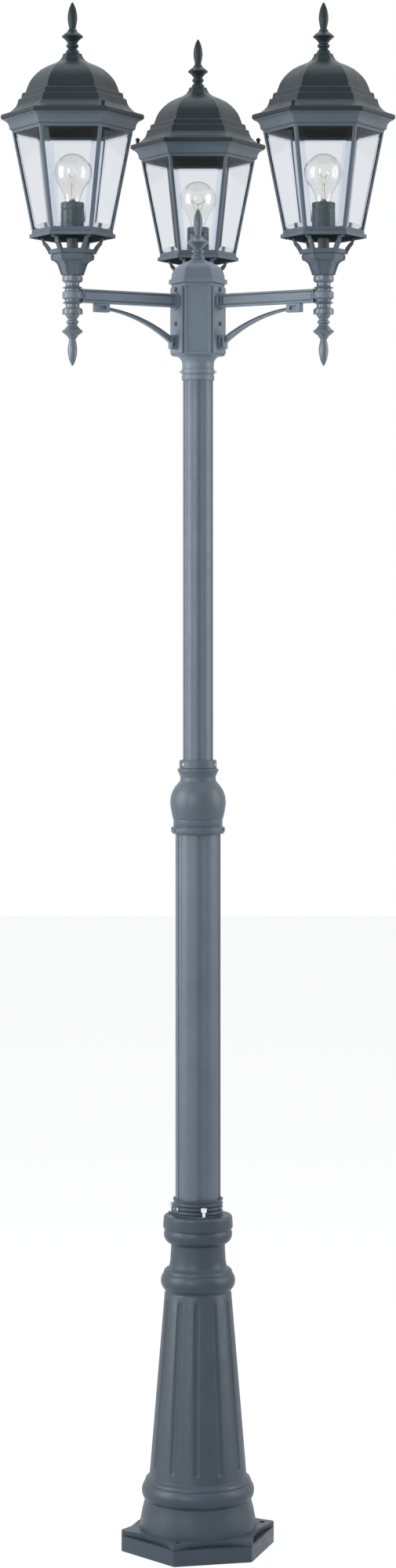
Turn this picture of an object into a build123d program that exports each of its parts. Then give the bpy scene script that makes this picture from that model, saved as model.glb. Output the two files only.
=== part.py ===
"""Triple head lamp post: a cast base, a two-stage post, a hexagonal hub and three hexagonal lanterns.

Millimetres, +Z up, origin on the ground under the middle of the post.
A lantern is modelled once, with its arm along +X, and then turned to each of its three headings.
"""
import math
import os

from build123d import *

os.makedirs("parts", exist_ok=True)

# ---- clearances and shared wall sizes ----
slip_gap = 0.3  # post in its socket, and any curved face beside another
fit_gap = 0.1  # screw in its hole
cast_wall = 6.0  # base casting
hex_sides = 6
corner_factor = 1 / math.cos(math.pi / hex_sides)  # corner radius over flat radius

# ---- headings, in degrees from +X ----
lantern_headings = {"left": -150, "right": -30, "rear": 90}
base_turn = -107.5  # first corner of the base plate
bolt_turn = -78  # first flange bolt
set_screw_turn = -142  # first set screw of a socket or coupling
flute_turn = -92  # first flute of the base cone
groove_turn = -82  # first groove of the post tubes

# ---- base casting ----
plate_flats = 229.0
plate_corner_round = 6.0
plate_height = 28.0
ledge_height = 7.0
scallop_depth = 12.0
scallop_margin = 6.0
plate_skin = 8.0
anchor_radius = 111.0
anchor_hole_radius = 4.75
anchor_column_radius = 14.0
anchor_count = 3
skirt_radius = 98.5
skirt_height = 47.0
skirt_top_radius = 89.2
skirt_bulge = 2.0
low_bead_radius = 94.8
low_bead_height = 42.5
low_bead_foot_height = 7.0
low_bead_foot_width = 2.4
low_bead_step_height = 4.0
low_bead_step_width = 1.6
cone_bottom_radius = 81.6
cone_top_radius = 56.0
cone_height = 306.5
high_bead_radius = 62.7
high_bead_height = 42.5
high_bead_foot_width = 4.0
high_bead_foot_height = 3.0
high_bead_step_height = 2.0
neck_bottom_radius = 48.6
neck_top_radius = 45.3
neck_height = 37.0
cushion_radius = 57.0
cushion_height = 26.5
cushion_foot_inset = 3.0
drum_radius = 58.8
drum_height = 23.0
drum_chamfer = 5.0
drum_foot_inset = 1.5
drum_foot_height = 5.0
drum_top_inset = 0.9
drum_top_web = 14.0
flute_count = 12
flute_width = 9.5
flute_depth = 1.5
flute_margin = 10.0

# ---- posts ----
lower_post_radius = 38.1
lower_post_wall = 3.2
lower_post_reveal = 614.0
lower_groove_width = 8.7
lower_groove_depth = 1.5
upper_post_radius = 25.4
upper_post_wall = 2.6
upper_post_reveal = 639.5
upper_groove_width = 6.6
upper_groove_depth = 1.1
groove_count = 6
wire_bore_radius = 18.0

# ---- post socket ----
flange_thickness = 3.0
flange_bolt_circle = 47.0
flange_lobe_radius = 5.5
flange_bolt_count = 3
bolt_radius = 2.75
bolt_head_radius = 5.0
bolt_head_height = 7.0
bolt_standoff = 8.0
bolt_grip = 11.0
bolt_socket_radius = 2.4
bolt_socket_depth = 3.5
socket_radius = 41.0
socket_lip_radius = 42.3
socket_height = 25.0
socket_spigot_radius = 33.0
socket_spigot_depth = 12.0
socket_waist = 1.2
socket_lip_height = 1.5
socket_screw_rise = 10.0

# ---- set screws ----
set_screw_radius = 2.5
set_screw_length = 6.0
set_screw_hex = 1.25
set_screw_hex_depth = 2.5
set_screw_count = 3

# ---- post coupling ----
collar_bead_radius = 45.3
collar_bead_height = 13.0
collar_bead_round = 2.6
collar_band_radius = 41.4
collar_band_height = 12.0
ball_radius = 46.9
ball_height = 64.0
ball_neck_radius = 29.9
ball_neck_height = 10.0
ball_neck_straight = 4.0
collar_lip_radius = 34.8
collar_top_radius = 31.5
collar_top_height = 25.0
collar_lip_round = 1.0
collar_lip_height = 2.5
collar_top_round = 1.5
coupling_screw_drop = 7.0
collar_web = 10.0
lower_engagement = 38.0

# ---- hub ----
hub_ring_radius = 28.0
hub_ring_height = 20.5
hub_ring_round = 1.5
hub_ring_setback = 0.4
hub_ring_groove = 1.6
hub_screw_rise = 13.5
hub_cove_inset = 3.0
hub_cove_depth = 2.6
hub_engagement = 19.5
hub_neck_radius = 26.8
hub_neck_height = 11.0
hub_cove_height = 9.5
hub_flats = 77.8
hub_wall = 5.0
hub_height = 121.0
hub_floor = 8.0
hub_panel_depth = 1.0
hub_panel_half_width = 18.7
hub_panel_margin = 5.6
hub_bar_width = 14.0
hub_bar_height = 8.0
hub_bar_drop = 24.0
hub_cap_lip_corner = 49.3
hub_cap_lip_height = 9.0
hub_cap_dome_corner = 44.8
hub_cap_rise = 43.0
hub_cap_wall = 3.0
hub_cap_step = 1.0
hub_cap_seat_inset = 3.0
hub_cap_seat_drop = 5.0
hub_cap_spigot = 5.0
hub_cap_spigot_wall = 2.0
cap_stud_radius = 3.0

# ---- arm and brace ----
arm_reach = 239.3
arm_drop = 29.5  # arm centre line below the hub's top edge
arm_bar_height = 22.0
arm_bar_width = 16.0
arm_web_recess = 1.5
arm_lip = 3.4
arm_plate_width = 40.0
arm_plate_thickness = 4.0
arm_plate_edge = 0.8
arm_bar_round = 1.2
arm_plate_top_gap = 6.0
arm_plate_bottom_gap = 3.0
arm_boss_radius = 14.5
arm_boss_depth = 4.5
arm_eye_radius = 16.8
arm_eye_height = 14.4
arm_eye_chamfer = 2.8
arm_bore_radius = 4.2
arm_screw_top_drop = 10.0
arm_screw_pitch = 58.0
arm_screw_radius = 2.0
arm_screw_head_radius = 3.5
arm_screw_head_height = 2.6
arm_screw_grip = 9.0
arm_screw_edge = 0.7
brace_width = 9.0
brace_clip_setback = 67.3  # from the lantern's axis back to the clip
brace_clip_length = 26.0
brace_clip_height = 14.5
brace_clip_width = 12.0
brace_foot_height = 23.0
brace_foot_depth = 11.5
brace_foot_width = 12.0
brace_foot_margin = 7.5
brace_tip_thickness = 4.5
brace_root_thickness = 12.0
brace_rise = 11.5
brace_window = 1.2
brace_window_margin = 3.0
brace_root_drop = 3.0
brace_overlap = 1.0
brace_sag_shift = 3.0

# ---- stem ----
collar_neck_radius = 13.6
collar_neck_height = 1.5
collar_ring_radius = 17.0
collar_ring_height = 10.6
collar_ring_chamfer = 2.6
collar_waist_radius = 11.6
collar_waist_height = 5.7
collar_ridge_radius = 16.7
collar_ridge_height = 8.0
collar_foot_radius = 12.5
collar_foot_height = 3.1
collar_ridge_slope = 3.2
collar_ridge_edge = 2.7
nipple_radius = 5.5
nipple_bore_radius = 3.8
nipple_shoulder_radius = 9.4
nipple_overlap = 2.5

# ---- finial ----
finial_base_radius = 11.2
finial_base_height = 4.0
finial_cone_top_radius = 7.4
finial_ring_radius = 10.2
finial_disc_radius = 17.7
finial_collar_radius = 8.4
finial_flame_radius = 8.0
finial_flame_root = 5.3
finial_height = 85.0
finial_base_round = 1.0
finial_waist_radius = 7.5
finial_waist_z = 8.0
finial_ring_z = 12.9
finial_ring_half_height = 3.1
finial_flare_z = 16.9
finial_flare_radius = 12.0
finial_flare_middle_z = 22.9
finial_disc_z = 27.8
finial_disc_round = 0.5
finial_disc_rim = 0.9
finial_dish_radius = 13.4
finial_dish_z = 32.2
finial_collar_z = 36.0
finial_collar_edge = 0.5
finial_collar_height = 1.0
finial_flame_z = 41.3
finial_flame_middle_z = 59.0
finial_tip_radius = 0.8
finial_stud_radius = 3.0
finial_stud_length = 12.0

# ---- cradle ----
cradle_foot_corner = 19.2
cradle_bell_corner = 34.7
cradle_bell_height = 25.0
cradle_bell_middle_corner = 24.2
cradle_groove = 1.5
cradle_edge = 1.0
strut_foot_drop = 4.0
strut_foot_inset = 0.5
strut_bow = 2.0
cradle_band_corner = 37.5
cradle_band_height = 9.0
cradle_rim_corner = 40.0
cradle_rim_height = 8.0
cradle_cup_corner = 33.0
cradle_cup_depth = 14.0
cradle_rib_width = 6.0
cradle_panel_depth = 1.0
strut_rise = 19.0
strut_width = 6.0
strut_thickness = 6.5
strut_top_radius = 52.5
tray_corner = 71.1
tray_thickness = 6.5

# ---- glass cage ----
cage_foot_corner = 66.0
cage_top_corner = 100.3
cage_height = 171.5
cage_wall = 6.5
cage_sill = 6.0
post_half_width = 3.75
pane_thickness = 2.4
pane_edge_thickness = 1.4
pane_setback = 1.0
pane_bevel = 9.0
pane_lap = 1.15
cornice_height = 18.8
cornice_corner = 115.8
cornice_bead_corner = 104.0
cornice_inner_corner = 90.0
cornice_foot_width = 1.6
cornice_bead_foot = 3.0
cornice_bead_width = 1.6
cornice_bead_middle = 5.4
cornice_bead_top = 7.8
cornice_neck_width = 0.6
cornice_cove_width = 3.2
cornice_cove_rise = 13.0
cornice_edge = 1.4

# ---- roof ----
roof_lip_corner = 118.5
roof_lip_height = 6.5
roof_rise = 108.0
roof_neck_corner = 15.5
roof_wall = 3.0
roof_spigot_depth = 5.5
# the roof's steps: corner radius in from the lip, and height over the lip
roof_edge_in = 5.9
roof_edge_rise = 2.5
roof_flare_in = 23.0
roof_flare_rise = 10.0
roof_skirt_in = 29.0
roof_skirt_rise = 26.0
roof_shelf_in = 33.5
roof_shelf_rise = 26.6
roof_band_in = 35.2
roof_band_rise = 36.0
roof_ledge_in = 41.5
roof_ledge_rise = 37.0
roof_dome_in = 57.0
roof_dome_rise = 66.5
roof_crown_corner = 35.0
roof_crown_rise = 82.0
roof_peak_corner = 20.6
roof_peak_rise = 89.0
roof_hollow_corner = 31.0
thumb_screw_circle = 106.0
thumb_ball_radius = 4.0
thumb_shank_radius = 2.0
thumb_height = 16.0
thumb_grip = 5.0

# ---- lamp ----
lampholder_radius = 19.3
lampholder_height = 52.5
lampholder_wall = 2.5
lampholder_floor = 6.0
lampholder_edge = 1.2
shell_radius = 14.2
shell_wall = 0.6
shell_height = 24.0
bulb_radius = 30.0
bulb_height = 110.0
bulb_wall = 1.0
bulb_neck_radius = 12.6
bulb_cap_radius = 13.2
bulb_cap_height = 27.0
bulb_contact_radius = 4.5
bulb_contact_z = 0.5
bulb_contact_height = 2.0
bulb_insulator_radius = 8.0
bulb_thread_z = 6.0
bulb_shoulder_radius = 13.8
bulb_shoulder_rise = 13.0
bulb_crown_start = -25.0  # degrees, where the round of the bulb meets its shoulder
tray_screw_circle = 58.0
tray_screw_radius = 1.6
tray_screw_head_radius = 3.5
tray_screw_head_height = 2.2
tray_screw_length = 11.0
tray_screw_edge = 0.6

bulb_clearance = 17.5  # foot of the bulb's cap over the lampholder's floor

# ---- wiring ----
lead_radius = 1.5
lead_bend = 9.0
lead_start = 18.0
supply_radius = 4.0
supply_bottom = 420.0
connector_radius = 6.0
connector_height = 22.0
connector_rise = 20.0
connector_taper = 8  # degrees
lead_tail = 6.0

# ---- heights, stacked up from the ground ----
skirt_z = plate_height + ledge_height
low_bead_z = skirt_z + skirt_height
cone_z = low_bead_z + low_bead_height
high_bead_z = cone_z + cone_height
neck_z = high_bead_z + high_bead_height
cushion_z = neck_z + neck_height
drum_z = cushion_z + cushion_height
base_top = drum_z + drum_height
socket_z = base_top + flange_thickness
socket_top = socket_z + socket_height
collar_z = socket_top + lower_post_reveal
collar_band_z = collar_z + collar_bead_height
ball_z = collar_band_z + collar_band_height
ball_neck_z = ball_z + ball_height
collar_top_z = ball_neck_z + ball_neck_height
coupling_top = collar_top_z + collar_top_height
lower_post_top = collar_z + lower_engagement
upper_post_z = lower_post_top + collar_web
hub_z = coupling_top + upper_post_reveal
upper_post_top = hub_z + hub_engagement
hub_neck_z = hub_z + hub_ring_height
hub_cove_z = hub_neck_z + hub_neck_height
hub_body_z = hub_cove_z + hub_cove_height
hub_top = hub_body_z + hub_height
hub_cap_top = hub_top + hub_cap_rise
arm_z = hub_top - arm_drop
arm_plate_z = hub_body_z + arm_plate_bottom_gap
arm_plate_top = hub_top - arm_plate_top_gap
eye_bottom = arm_z - arm_eye_height / 2
eye_top = arm_z + arm_eye_height / 2
collar_total = collar_ridge_height + collar_waist_height + collar_ring_height + collar_neck_height
stem_top = eye_top + collar_total
stem_bottom = eye_bottom - collar_total + collar_neck_height
cradle_z = stem_top
cradle_band_z = cradle_z + cradle_bell_height
cradle_rim_z = cradle_band_z + cradle_band_height
cradle_rim_top = cradle_rim_z + cradle_rim_height
tray_z = cradle_rim_top + strut_rise
tray_top = tray_z + tray_thickness
cage_top = tray_top + cage_height
cornice_top = cage_top + cornice_height
roof_top = cornice_top + roof_rise
hub_apothem = hub_flats / 2
bar_inner = hub_apothem + arm_plate_thickness
cup_floor = cradle_rim_top - cradle_cup_depth
strut_middle = (cradle_rim_corner + strut_top_radius) / 2
socket_screw_z = socket_z + socket_screw_rise
low_collar_screw_z = collar_z + collar_bead_height * 0.6
high_collar_screw_z = coupling_top - coupling_screw_drop
hub_screw_z = hub_z + hub_screw_rise
arm_screw_z = hub_top - arm_screw_top_drop
hub_screw_turns = (0, 180)
hex_corner_turn = 0  # the hub's corners, as it stands
lantern_corner_turn = 30  # a lantern's corners, before it is turned to its heading
hub_face_count = 3
hub_panel_turn = -90
hub_bar_turn = 90
eye_floor = arm_eye_height / 2 - arm_bore_radius - fit_gap
stem_bottom_stud = eye_bottom - stem_bottom + eye_floor - fit_gap
nipple_z = eye_top - nipple_overlap
nipple_top = tray_top + lampholder_floor
lead_top = nipple_top + lead_tail
connector_z = hub_body_z + hub_floor + connector_rise
pane_setback_edge = pane_setback + pane_thickness - pane_edge_thickness
shell_seat = 2.0
bulb_z = tray_top + lampholder_floor + bulb_clearance
thumb_z = cornice_top - thumb_grip


def hex_solid(outline, half_span):
    """A six-sided solid, flats towards +X and -X, from its whole outline of flat radius against height."""
    with BuildPart() as solid:
        for turn in range(0, 180, 60):
            with BuildSketch(Plane.XZ.rotated((0, 0, turn)).offset(-half_span)):
                add(outline)
            extrude(amount=2 * half_span, mode=Mode.INTERSECT if turn else Mode.ADD)
    return solid.part


def flat(corner):
    """The flat radius of a hexagon with this corner radius."""
    return corner / corner_factor


def radial_plane(height, turn, radius=0.0):
    """A plane that faces away from the post's axis, this far out, at this height and heading."""
    outward = Vector(math.cos(math.radians(turn)), math.sin(math.radians(turn)), 0)
    return Plane(origin=outward * radius + Vector(0, 0, height), x_dir=(0, 0, 1), z_dir=outward)


def turned(plane, turn):
    """The same plane turned about the vertical axis."""
    return Plane(Location((0, 0, 0), (0, 0, turn)) * plane.location)


def screw_turns(count):
    """Headings of the set screws round one joint."""
    return [set_screw_turn + index * 360 / count for index in range(count)]


def save(part, name):
    """Label a finished piece and write it to its file."""
    part.label = name
    export_step(part, f"parts/{name}.step")


def save_each_way(part, name, offset=0.0):
    """Write one copy of a piece for each heading, moved out to its place along the arm first."""
    for side, heading in lantern_headings.items():
        save(part.translate((offset, 0, 0)).rotate(Axis.Z, heading), f"{side}_{name}")


# ================= base casting =================
with BuildSketch() as plate_outline:
    RegularPolygon(plate_flats / 2, hex_sides, major_radius=False, rotation=base_turn)
    fillet(plate_outline.vertices(), plate_corner_round)

ledge_half_side = plate_flats / 2 * math.tan(math.pi / hex_sides) - scallop_margin
scallop_radius = (ledge_half_side**2 + scallop_depth**2) / (2 * scallop_depth)
with BuildSketch() as ledge_outline:
    add(plate_outline.sketch)
    with PolarLocations(plate_flats / 2 + scallop_radius - scallop_depth, hex_sides, base_turn + 30):
        Circle(scallop_radius, mode=Mode.SUBTRACT)

flute_cutter_radius = (flute_width**2 / 4 + flute_depth**2) / (2 * flute_depth)
flute_lean = math.degrees(math.atan((cone_bottom_radius - cone_top_radius) / cone_height))
flute_length = cone_height - 2 * flute_margin
flute_axis_radius = (cone_bottom_radius + cone_top_radius) / 2 + flute_cutter_radius - flute_depth
flute_plane = Plane(
    origin=(flute_axis_radius, 0, cone_z + cone_height / 2),
    x_dir=(0, 1, 0),
    z_dir=(-math.sin(math.radians(flute_lean)), 0, math.cos(math.radians(flute_lean))),
)
with BuildPart(flute_plane) as flute_cutter:
    Cylinder(flute_cutter_radius, flute_length - flute_width)
    with Locations((0, 0, flute_length / 2 - flute_width / 2), (0, 0, flute_width / 2 - flute_length / 2)):
        Sphere(flute_cutter_radius)

with BuildPart() as base_casting:
    with BuildSketch():
        add(plate_outline.sketch)
    extrude(amount=plate_height)
    with BuildSketch(Plane.XY.offset(plate_height)):
        add(ledge_outline.sketch)
    extrude(amount=ledge_height)
    with BuildSketch(Plane.XZ):
        with BuildLine():
            Line((0, plate_height), (skirt_radius, plate_height))
            Line((skirt_radius, plate_height), (skirt_radius, skirt_z))
            skirt_side = ThreePointArc(
                (skirt_radius, skirt_z),
                ((skirt_radius + skirt_top_radius) / 2 + skirt_bulge, skirt_z + skirt_height * 0.48),
                (skirt_top_radius, low_bead_z),
            )
            low_bead = ThreePointArc(
                skirt_side @ 1,
                (low_bead_radius, low_bead_z + low_bead_height * 0.42),
                (cone_bottom_radius + low_bead_foot_width, cone_z - low_bead_foot_height),
            )
            Polyline(
                low_bead @ 1,
                (cone_bottom_radius + low_bead_step_width, cone_z - low_bead_step_height),
                (cone_bottom_radius, cone_z - low_bead_step_height),
                (cone_bottom_radius, cone_z),
                (cone_top_radius, high_bead_z),
            )
            high_bead = ThreePointArc(
                (cone_top_radius, high_bead_z),
                (high_bead_radius, high_bead_z + high_bead_height * 0.58),
                (neck_bottom_radius + high_bead_foot_width, neck_z - high_bead_foot_height),
            )
            Polyline(
                high_bead @ 1,
                (neck_bottom_radius, neck_z - high_bead_step_height),
                (neck_top_radius, cushion_z),
            )
            cushion = ThreePointArc(
                (neck_top_radius, cushion_z),
                (cushion_radius, cushion_z + cushion_height * 0.62),
                (cushion_radius - cushion_foot_inset, drum_z),
            )
            Polyline(
                cushion @ 1,
                (drum_radius - drum_foot_inset, drum_z),
                (drum_radius, drum_z + drum_foot_height),
                (drum_radius - drum_top_inset, base_top - drum_chamfer),
                (drum_radius - drum_chamfer - drum_top_inset, base_top),
                (0, base_top),
                (0, plate_height),
            )
        make_face()
    revolve(axis=Axis.Z)
    with PolarLocations(0, flute_count, flute_turn):
        add(flute_cutter.part, mode=Mode.SUBTRACT)
    with BuildSketch():
        offset(plate_outline.sketch, amount=-plate_skin)
        with PolarLocations(anchor_radius, anchor_count, base_turn):
            Circle(anchor_column_radius, mode=Mode.SUBTRACT)
    extrude(amount=skirt_z - plate_skin, mode=Mode.SUBTRACT)
    with BuildSketch(Plane.XZ):
        with BuildLine():
            Polyline(
                (0, 0),
                (skirt_top_radius - cast_wall, 0),
                (skirt_top_radius - cast_wall, low_bead_z),
                (cone_bottom_radius - cast_wall, cone_z),
                (cone_top_radius - cast_wall, high_bead_z),
                (neck_bottom_radius - cast_wall, neck_z),
                (neck_top_radius - cast_wall, cushion_z),
                (neck_top_radius - cast_wall, base_top - drum_top_web),
                (0, base_top - drum_top_web),
                (0, 0),
            )
        make_face()
    revolve(axis=Axis.Z, mode=Mode.SUBTRACT)
    with BuildSketch(Plane.XY.offset(base_top)):
        Circle(socket_spigot_radius + slip_gap)
        with PolarLocations(flange_bolt_circle, flange_bolt_count, bolt_turn):
            Circle(bolt_radius + fit_gap)
    extrude(amount=-drum_top_web, mode=Mode.SUBTRACT)
    with BuildSketch():
        with PolarLocations(anchor_radius, anchor_count, base_turn):
            Circle(anchor_hole_radius)
    extrude(amount=skirt_z, mode=Mode.SUBTRACT)
save(base_casting.part, "base_casting")

# ================= post socket and its bolts =================
with BuildPart() as post_socket:
    with BuildSketch(Plane.XY.offset(base_top)):
        Circle(socket_radius)
        with PolarLocations(flange_bolt_circle, flange_bolt_count, bolt_turn):
            Circle(flange_lobe_radius)
        make_hull()
    extrude(amount=flange_thickness)
    with BuildSketch(Plane.XZ):
        with BuildLine():
            ridge = socket_height / 4
            Polyline(
                (0, base_top - socket_spigot_depth),
                (socket_spigot_radius, base_top - socket_spigot_depth),
                (socket_spigot_radius, socket_z),
                (socket_radius, socket_z),
            )
            foot_ridge = ThreePointArc(
                (socket_radius, socket_z),
                (socket_radius + socket_waist, socket_z + ridge / 2),
                (socket_radius, socket_z + ridge),
            )
            mid_ridge = ThreePointArc(
                foot_ridge @ 1,
                (socket_radius + socket_waist, socket_z + ridge * 1.5),
                (socket_radius, socket_z + ridge * 2),
            )
            top_ridge = ThreePointArc(
                mid_ridge @ 1,
                (socket_radius + socket_waist / 2, socket_z + ridge * 2.6),
                (socket_radius, socket_z + ridge * 3.2),
            )
            Polyline(
                top_ridge @ 1,
                (socket_lip_radius, socket_top - socket_lip_height),
                (socket_lip_radius, socket_top),
            )
            Polyline((socket_lip_radius, socket_top), (0, socket_top), (0, base_top - socket_spigot_depth))
        make_face()
    revolve(axis=Axis.Z)
    with BuildSketch(Plane.XY.offset(socket_top)):
        Circle(lower_post_radius + slip_gap)
    extrude(amount=socket_z - socket_top, mode=Mode.SUBTRACT)
    with BuildSketch(Plane.XY.offset(socket_z)):
        Circle(wire_bore_radius)
    extrude(amount=-flange_thickness - socket_spigot_depth, mode=Mode.SUBTRACT)
    with BuildSketch(Plane.XY.offset(base_top)):
        with PolarLocations(flange_bolt_circle, flange_bolt_count, bolt_turn):
            Circle(bolt_radius + fit_gap)
    extrude(amount=flange_thickness, mode=Mode.SUBTRACT)
    with BuildSketch(Plane.XY.offset(socket_z)):
        with PolarLocations(flange_bolt_circle, flange_bolt_count, bolt_turn):
            Circle(bolt_head_radius + slip_gap)
    extrude(amount=socket_height, mode=Mode.SUBTRACT)
    for turn in screw_turns(set_screw_count):
        with BuildSketch(radial_plane(socket_screw_z, turn)):
            Circle(set_screw_radius + fit_gap)
        extrude(amount=2 * socket_radius, mode=Mode.SUBTRACT)
save(post_socket.part, "post_socket")

with BuildPart() as flange_bolts:
    with BuildSketch(Plane.XY.offset(socket_z - bolt_grip)):
        with PolarLocations(flange_bolt_circle, flange_bolt_count, bolt_turn):
            Circle(bolt_radius)
    extrude(amount=bolt_grip + bolt_standoff)
    with BuildSketch(Plane.XY.offset(socket_z + bolt_standoff)):
        with PolarLocations(flange_bolt_circle, flange_bolt_count, bolt_turn):
            Circle(bolt_head_radius)
    extrude(amount=bolt_head_height)
    with BuildSketch(Plane.XY.offset(socket_z + bolt_standoff + bolt_head_height)):
        with PolarLocations(flange_bolt_circle, flange_bolt_count, bolt_turn):
            RegularPolygon(bolt_socket_radius, hex_sides)
    extrude(amount=-bolt_socket_depth, mode=Mode.SUBTRACT)
save(flange_bolts.part, "flange_bolts")


# ================= posts =================
def post_tube(radius, wall, bottom, top, groove_width, groove_depth):
    """A round tube with shallow grooves along it."""
    with BuildPart() as tube:
        with BuildSketch(Plane.XY.offset(bottom)):
            Circle(radius)
            Circle(radius - wall, mode=Mode.SUBTRACT)
            with PolarLocations(radius, groove_count, groove_turn):
                Rectangle(2 * groove_depth, groove_width, mode=Mode.SUBTRACT)
        extrude(amount=top - bottom)
    return tube.part


lower_post = post_tube(
    lower_post_radius, lower_post_wall, socket_z, lower_post_top, lower_groove_width, lower_groove_depth
)
save(lower_post, "lower_post")
upper_post = post_tube(
    upper_post_radius, upper_post_wall, upper_post_z, upper_post_top, upper_groove_width, upper_groove_depth
)
save(upper_post, "upper_post")

# ================= post coupling =================
with BuildPart() as post_coupling:
    with BuildSketch(Plane.XZ):
        with BuildLine():
            Line((0, collar_z), (collar_bead_radius - collar_bead_round, collar_z))
            collar_bead = ThreePointArc(
                (collar_bead_radius - collar_bead_round, collar_z),
                (collar_bead_radius, collar_z + collar_bead_height * 0.6),
                (collar_band_radius, collar_band_z),
            )
            Line(collar_bead @ 1, (collar_band_radius, ball_z))
            ball = Spline(
                (collar_band_radius, ball_z),
                (ball_radius, ball_z + ball_height * 0.4),
                (ball_neck_radius, ball_neck_z),
                tangents=((0.4, 1), (0, 1), (-0.1, 1)),
            )
            Line(ball @ 1, (ball_neck_radius, ball_neck_z + ball_neck_straight))
            Polyline(
                (ball_neck_radius, ball_neck_z + ball_neck_straight),
                (collar_lip_radius - collar_lip_round, collar_top_z - 2 * collar_lip_round),
                (collar_lip_radius, collar_top_z),
                (collar_lip_radius, collar_top_z + collar_lip_height),
                (collar_top_radius, collar_top_z + collar_lip_height + collar_lip_round),
                (collar_top_radius, coupling_top - collar_top_round),
                (collar_top_radius - collar_top_round, coupling_top),
                (0, coupling_top),
                (0, collar_z),
            )
        make_face()
    revolve(axis=Axis.Z)
    with BuildSketch(Plane.XY.offset(collar_z)):
        Circle(lower_post_radius + slip_gap)
    extrude(amount=lower_post_top - collar_z, mode=Mode.SUBTRACT)
    with BuildSketch(Plane.XY.offset(coupling_top)):
        Circle(upper_post_radius + slip_gap)
    extrude(amount=upper_post_z - coupling_top, mode=Mode.SUBTRACT)
    with BuildSketch(Plane.XY.offset(lower_post_top)):
        Circle(wire_bore_radius)
    extrude(amount=collar_web, mode=Mode.SUBTRACT)
    for turn in screw_turns(set_screw_count):
        low_hole = radial_plane(low_collar_screw_z, turn)
        high_hole = radial_plane(high_collar_screw_z, turn)
        with BuildSketch(low_hole, high_hole):
            Circle(set_screw_radius + fit_gap)
        extrude(amount=2 * ball_radius, mode=Mode.SUBTRACT)
save(post_coupling.part, "post_coupling")

# ================= hub =================
with BuildSketch() as hub_panels:
    with PolarLocations(hub_apothem - hub_panel_depth / 2, hub_face_count, hub_panel_turn):
        Rectangle(hub_panel_depth, 2 * hub_panel_half_width)

with BuildPart() as hub_body:
    with BuildSketch(Plane.XY.offset(hub_body_z)):
        RegularPolygon(hub_apothem, hex_sides, major_radius=False, rotation=hex_corner_turn)
    extrude(amount=hub_height)
    with BuildSketch(Plane.XY.offset(hub_body_z + hub_panel_margin)):
        add(hub_panels.sketch)
    extrude(amount=hub_height - 2 * hub_panel_margin, mode=Mode.SUBTRACT)
    with BuildSketch(Plane.XZ):
        with BuildLine():
            ring_middle = hub_z + hub_ring_height / 2
            Polyline(
                (0, hub_z),
                (hub_ring_radius - hub_ring_round, hub_z),
                (hub_ring_radius - hub_ring_setback, hub_z + hub_ring_round),
                (hub_ring_radius - hub_ring_setback, ring_middle - 1.3 * hub_ring_groove),
                (hub_ring_radius - hub_ring_groove, ring_middle - 0.7 * hub_ring_groove),
                (hub_ring_radius - hub_ring_groove, ring_middle),
                (hub_ring_radius, ring_middle + 0.7 * hub_ring_groove),
                (hub_ring_radius, hub_neck_z - hub_ring_round),
                (hub_neck_radius, hub_neck_z),
                (hub_neck_radius, hub_cove_z),
            )
            cove = ThreePointArc(
                (hub_neck_radius, hub_cove_z),
                (hub_neck_radius + hub_cove_depth, hub_cove_z + hub_cove_height * 0.72),
                (hub_apothem - hub_cove_inset, hub_body_z),
            )
            Polyline(
                cove @ 1,
                (hub_apothem - hub_cove_inset, hub_body_z + hub_floor),
                (0, hub_body_z + hub_floor),
                (0, hub_z),
            )
        make_face()
    revolve(axis=Axis.Z)
    with BuildSketch(Plane.XY.offset(hub_z)):
        Circle(upper_post_radius + fit_gap)
    extrude(amount=hub_engagement, mode=Mode.SUBTRACT)
    with BuildSketch(Plane.XY.offset(hub_z)):
        Circle(wire_bore_radius)
    extrude(amount=hub_top - hub_z, mode=Mode.SUBTRACT)
    with BuildSketch(Plane.XY.offset(hub_body_z + hub_floor)):
        RegularPolygon(hub_apothem - hub_wall, hex_sides, major_radius=False, rotation=hex_corner_turn)
    extrude(amount=hub_height, mode=Mode.SUBTRACT)
    with BuildSketch(Plane.XY.offset(hub_top - hub_bar_drop)):
        Rectangle(2 * (hub_apothem - hub_wall), hub_bar_width, rotation=hub_bar_turn)
        Circle(cap_stud_radius + fit_gap, mode=Mode.SUBTRACT)
    extrude(amount=hub_bar_height)
    for turn in lantern_headings.values():
        with BuildSketch(radial_plane(arm_z, turn)):
            Circle(arm_bore_radius)
        extrude(amount=hub_flats, mode=Mode.SUBTRACT)
        with BuildSketch(radial_plane(arm_screw_z, turn), radial_plane(arm_screw_z - arm_screw_pitch, turn)):
            Circle(arm_screw_radius + fit_gap)
        extrude(amount=hub_flats, mode=Mode.SUBTRACT)
    for turn in hub_screw_turns:
        with BuildSketch(radial_plane(hub_screw_z, turn)):
            Circle(set_screw_radius + fit_gap)
        extrude(amount=2 * hub_ring_radius, mode=Mode.SUBTRACT)
save(hub_body.part, "hub_body")

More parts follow.
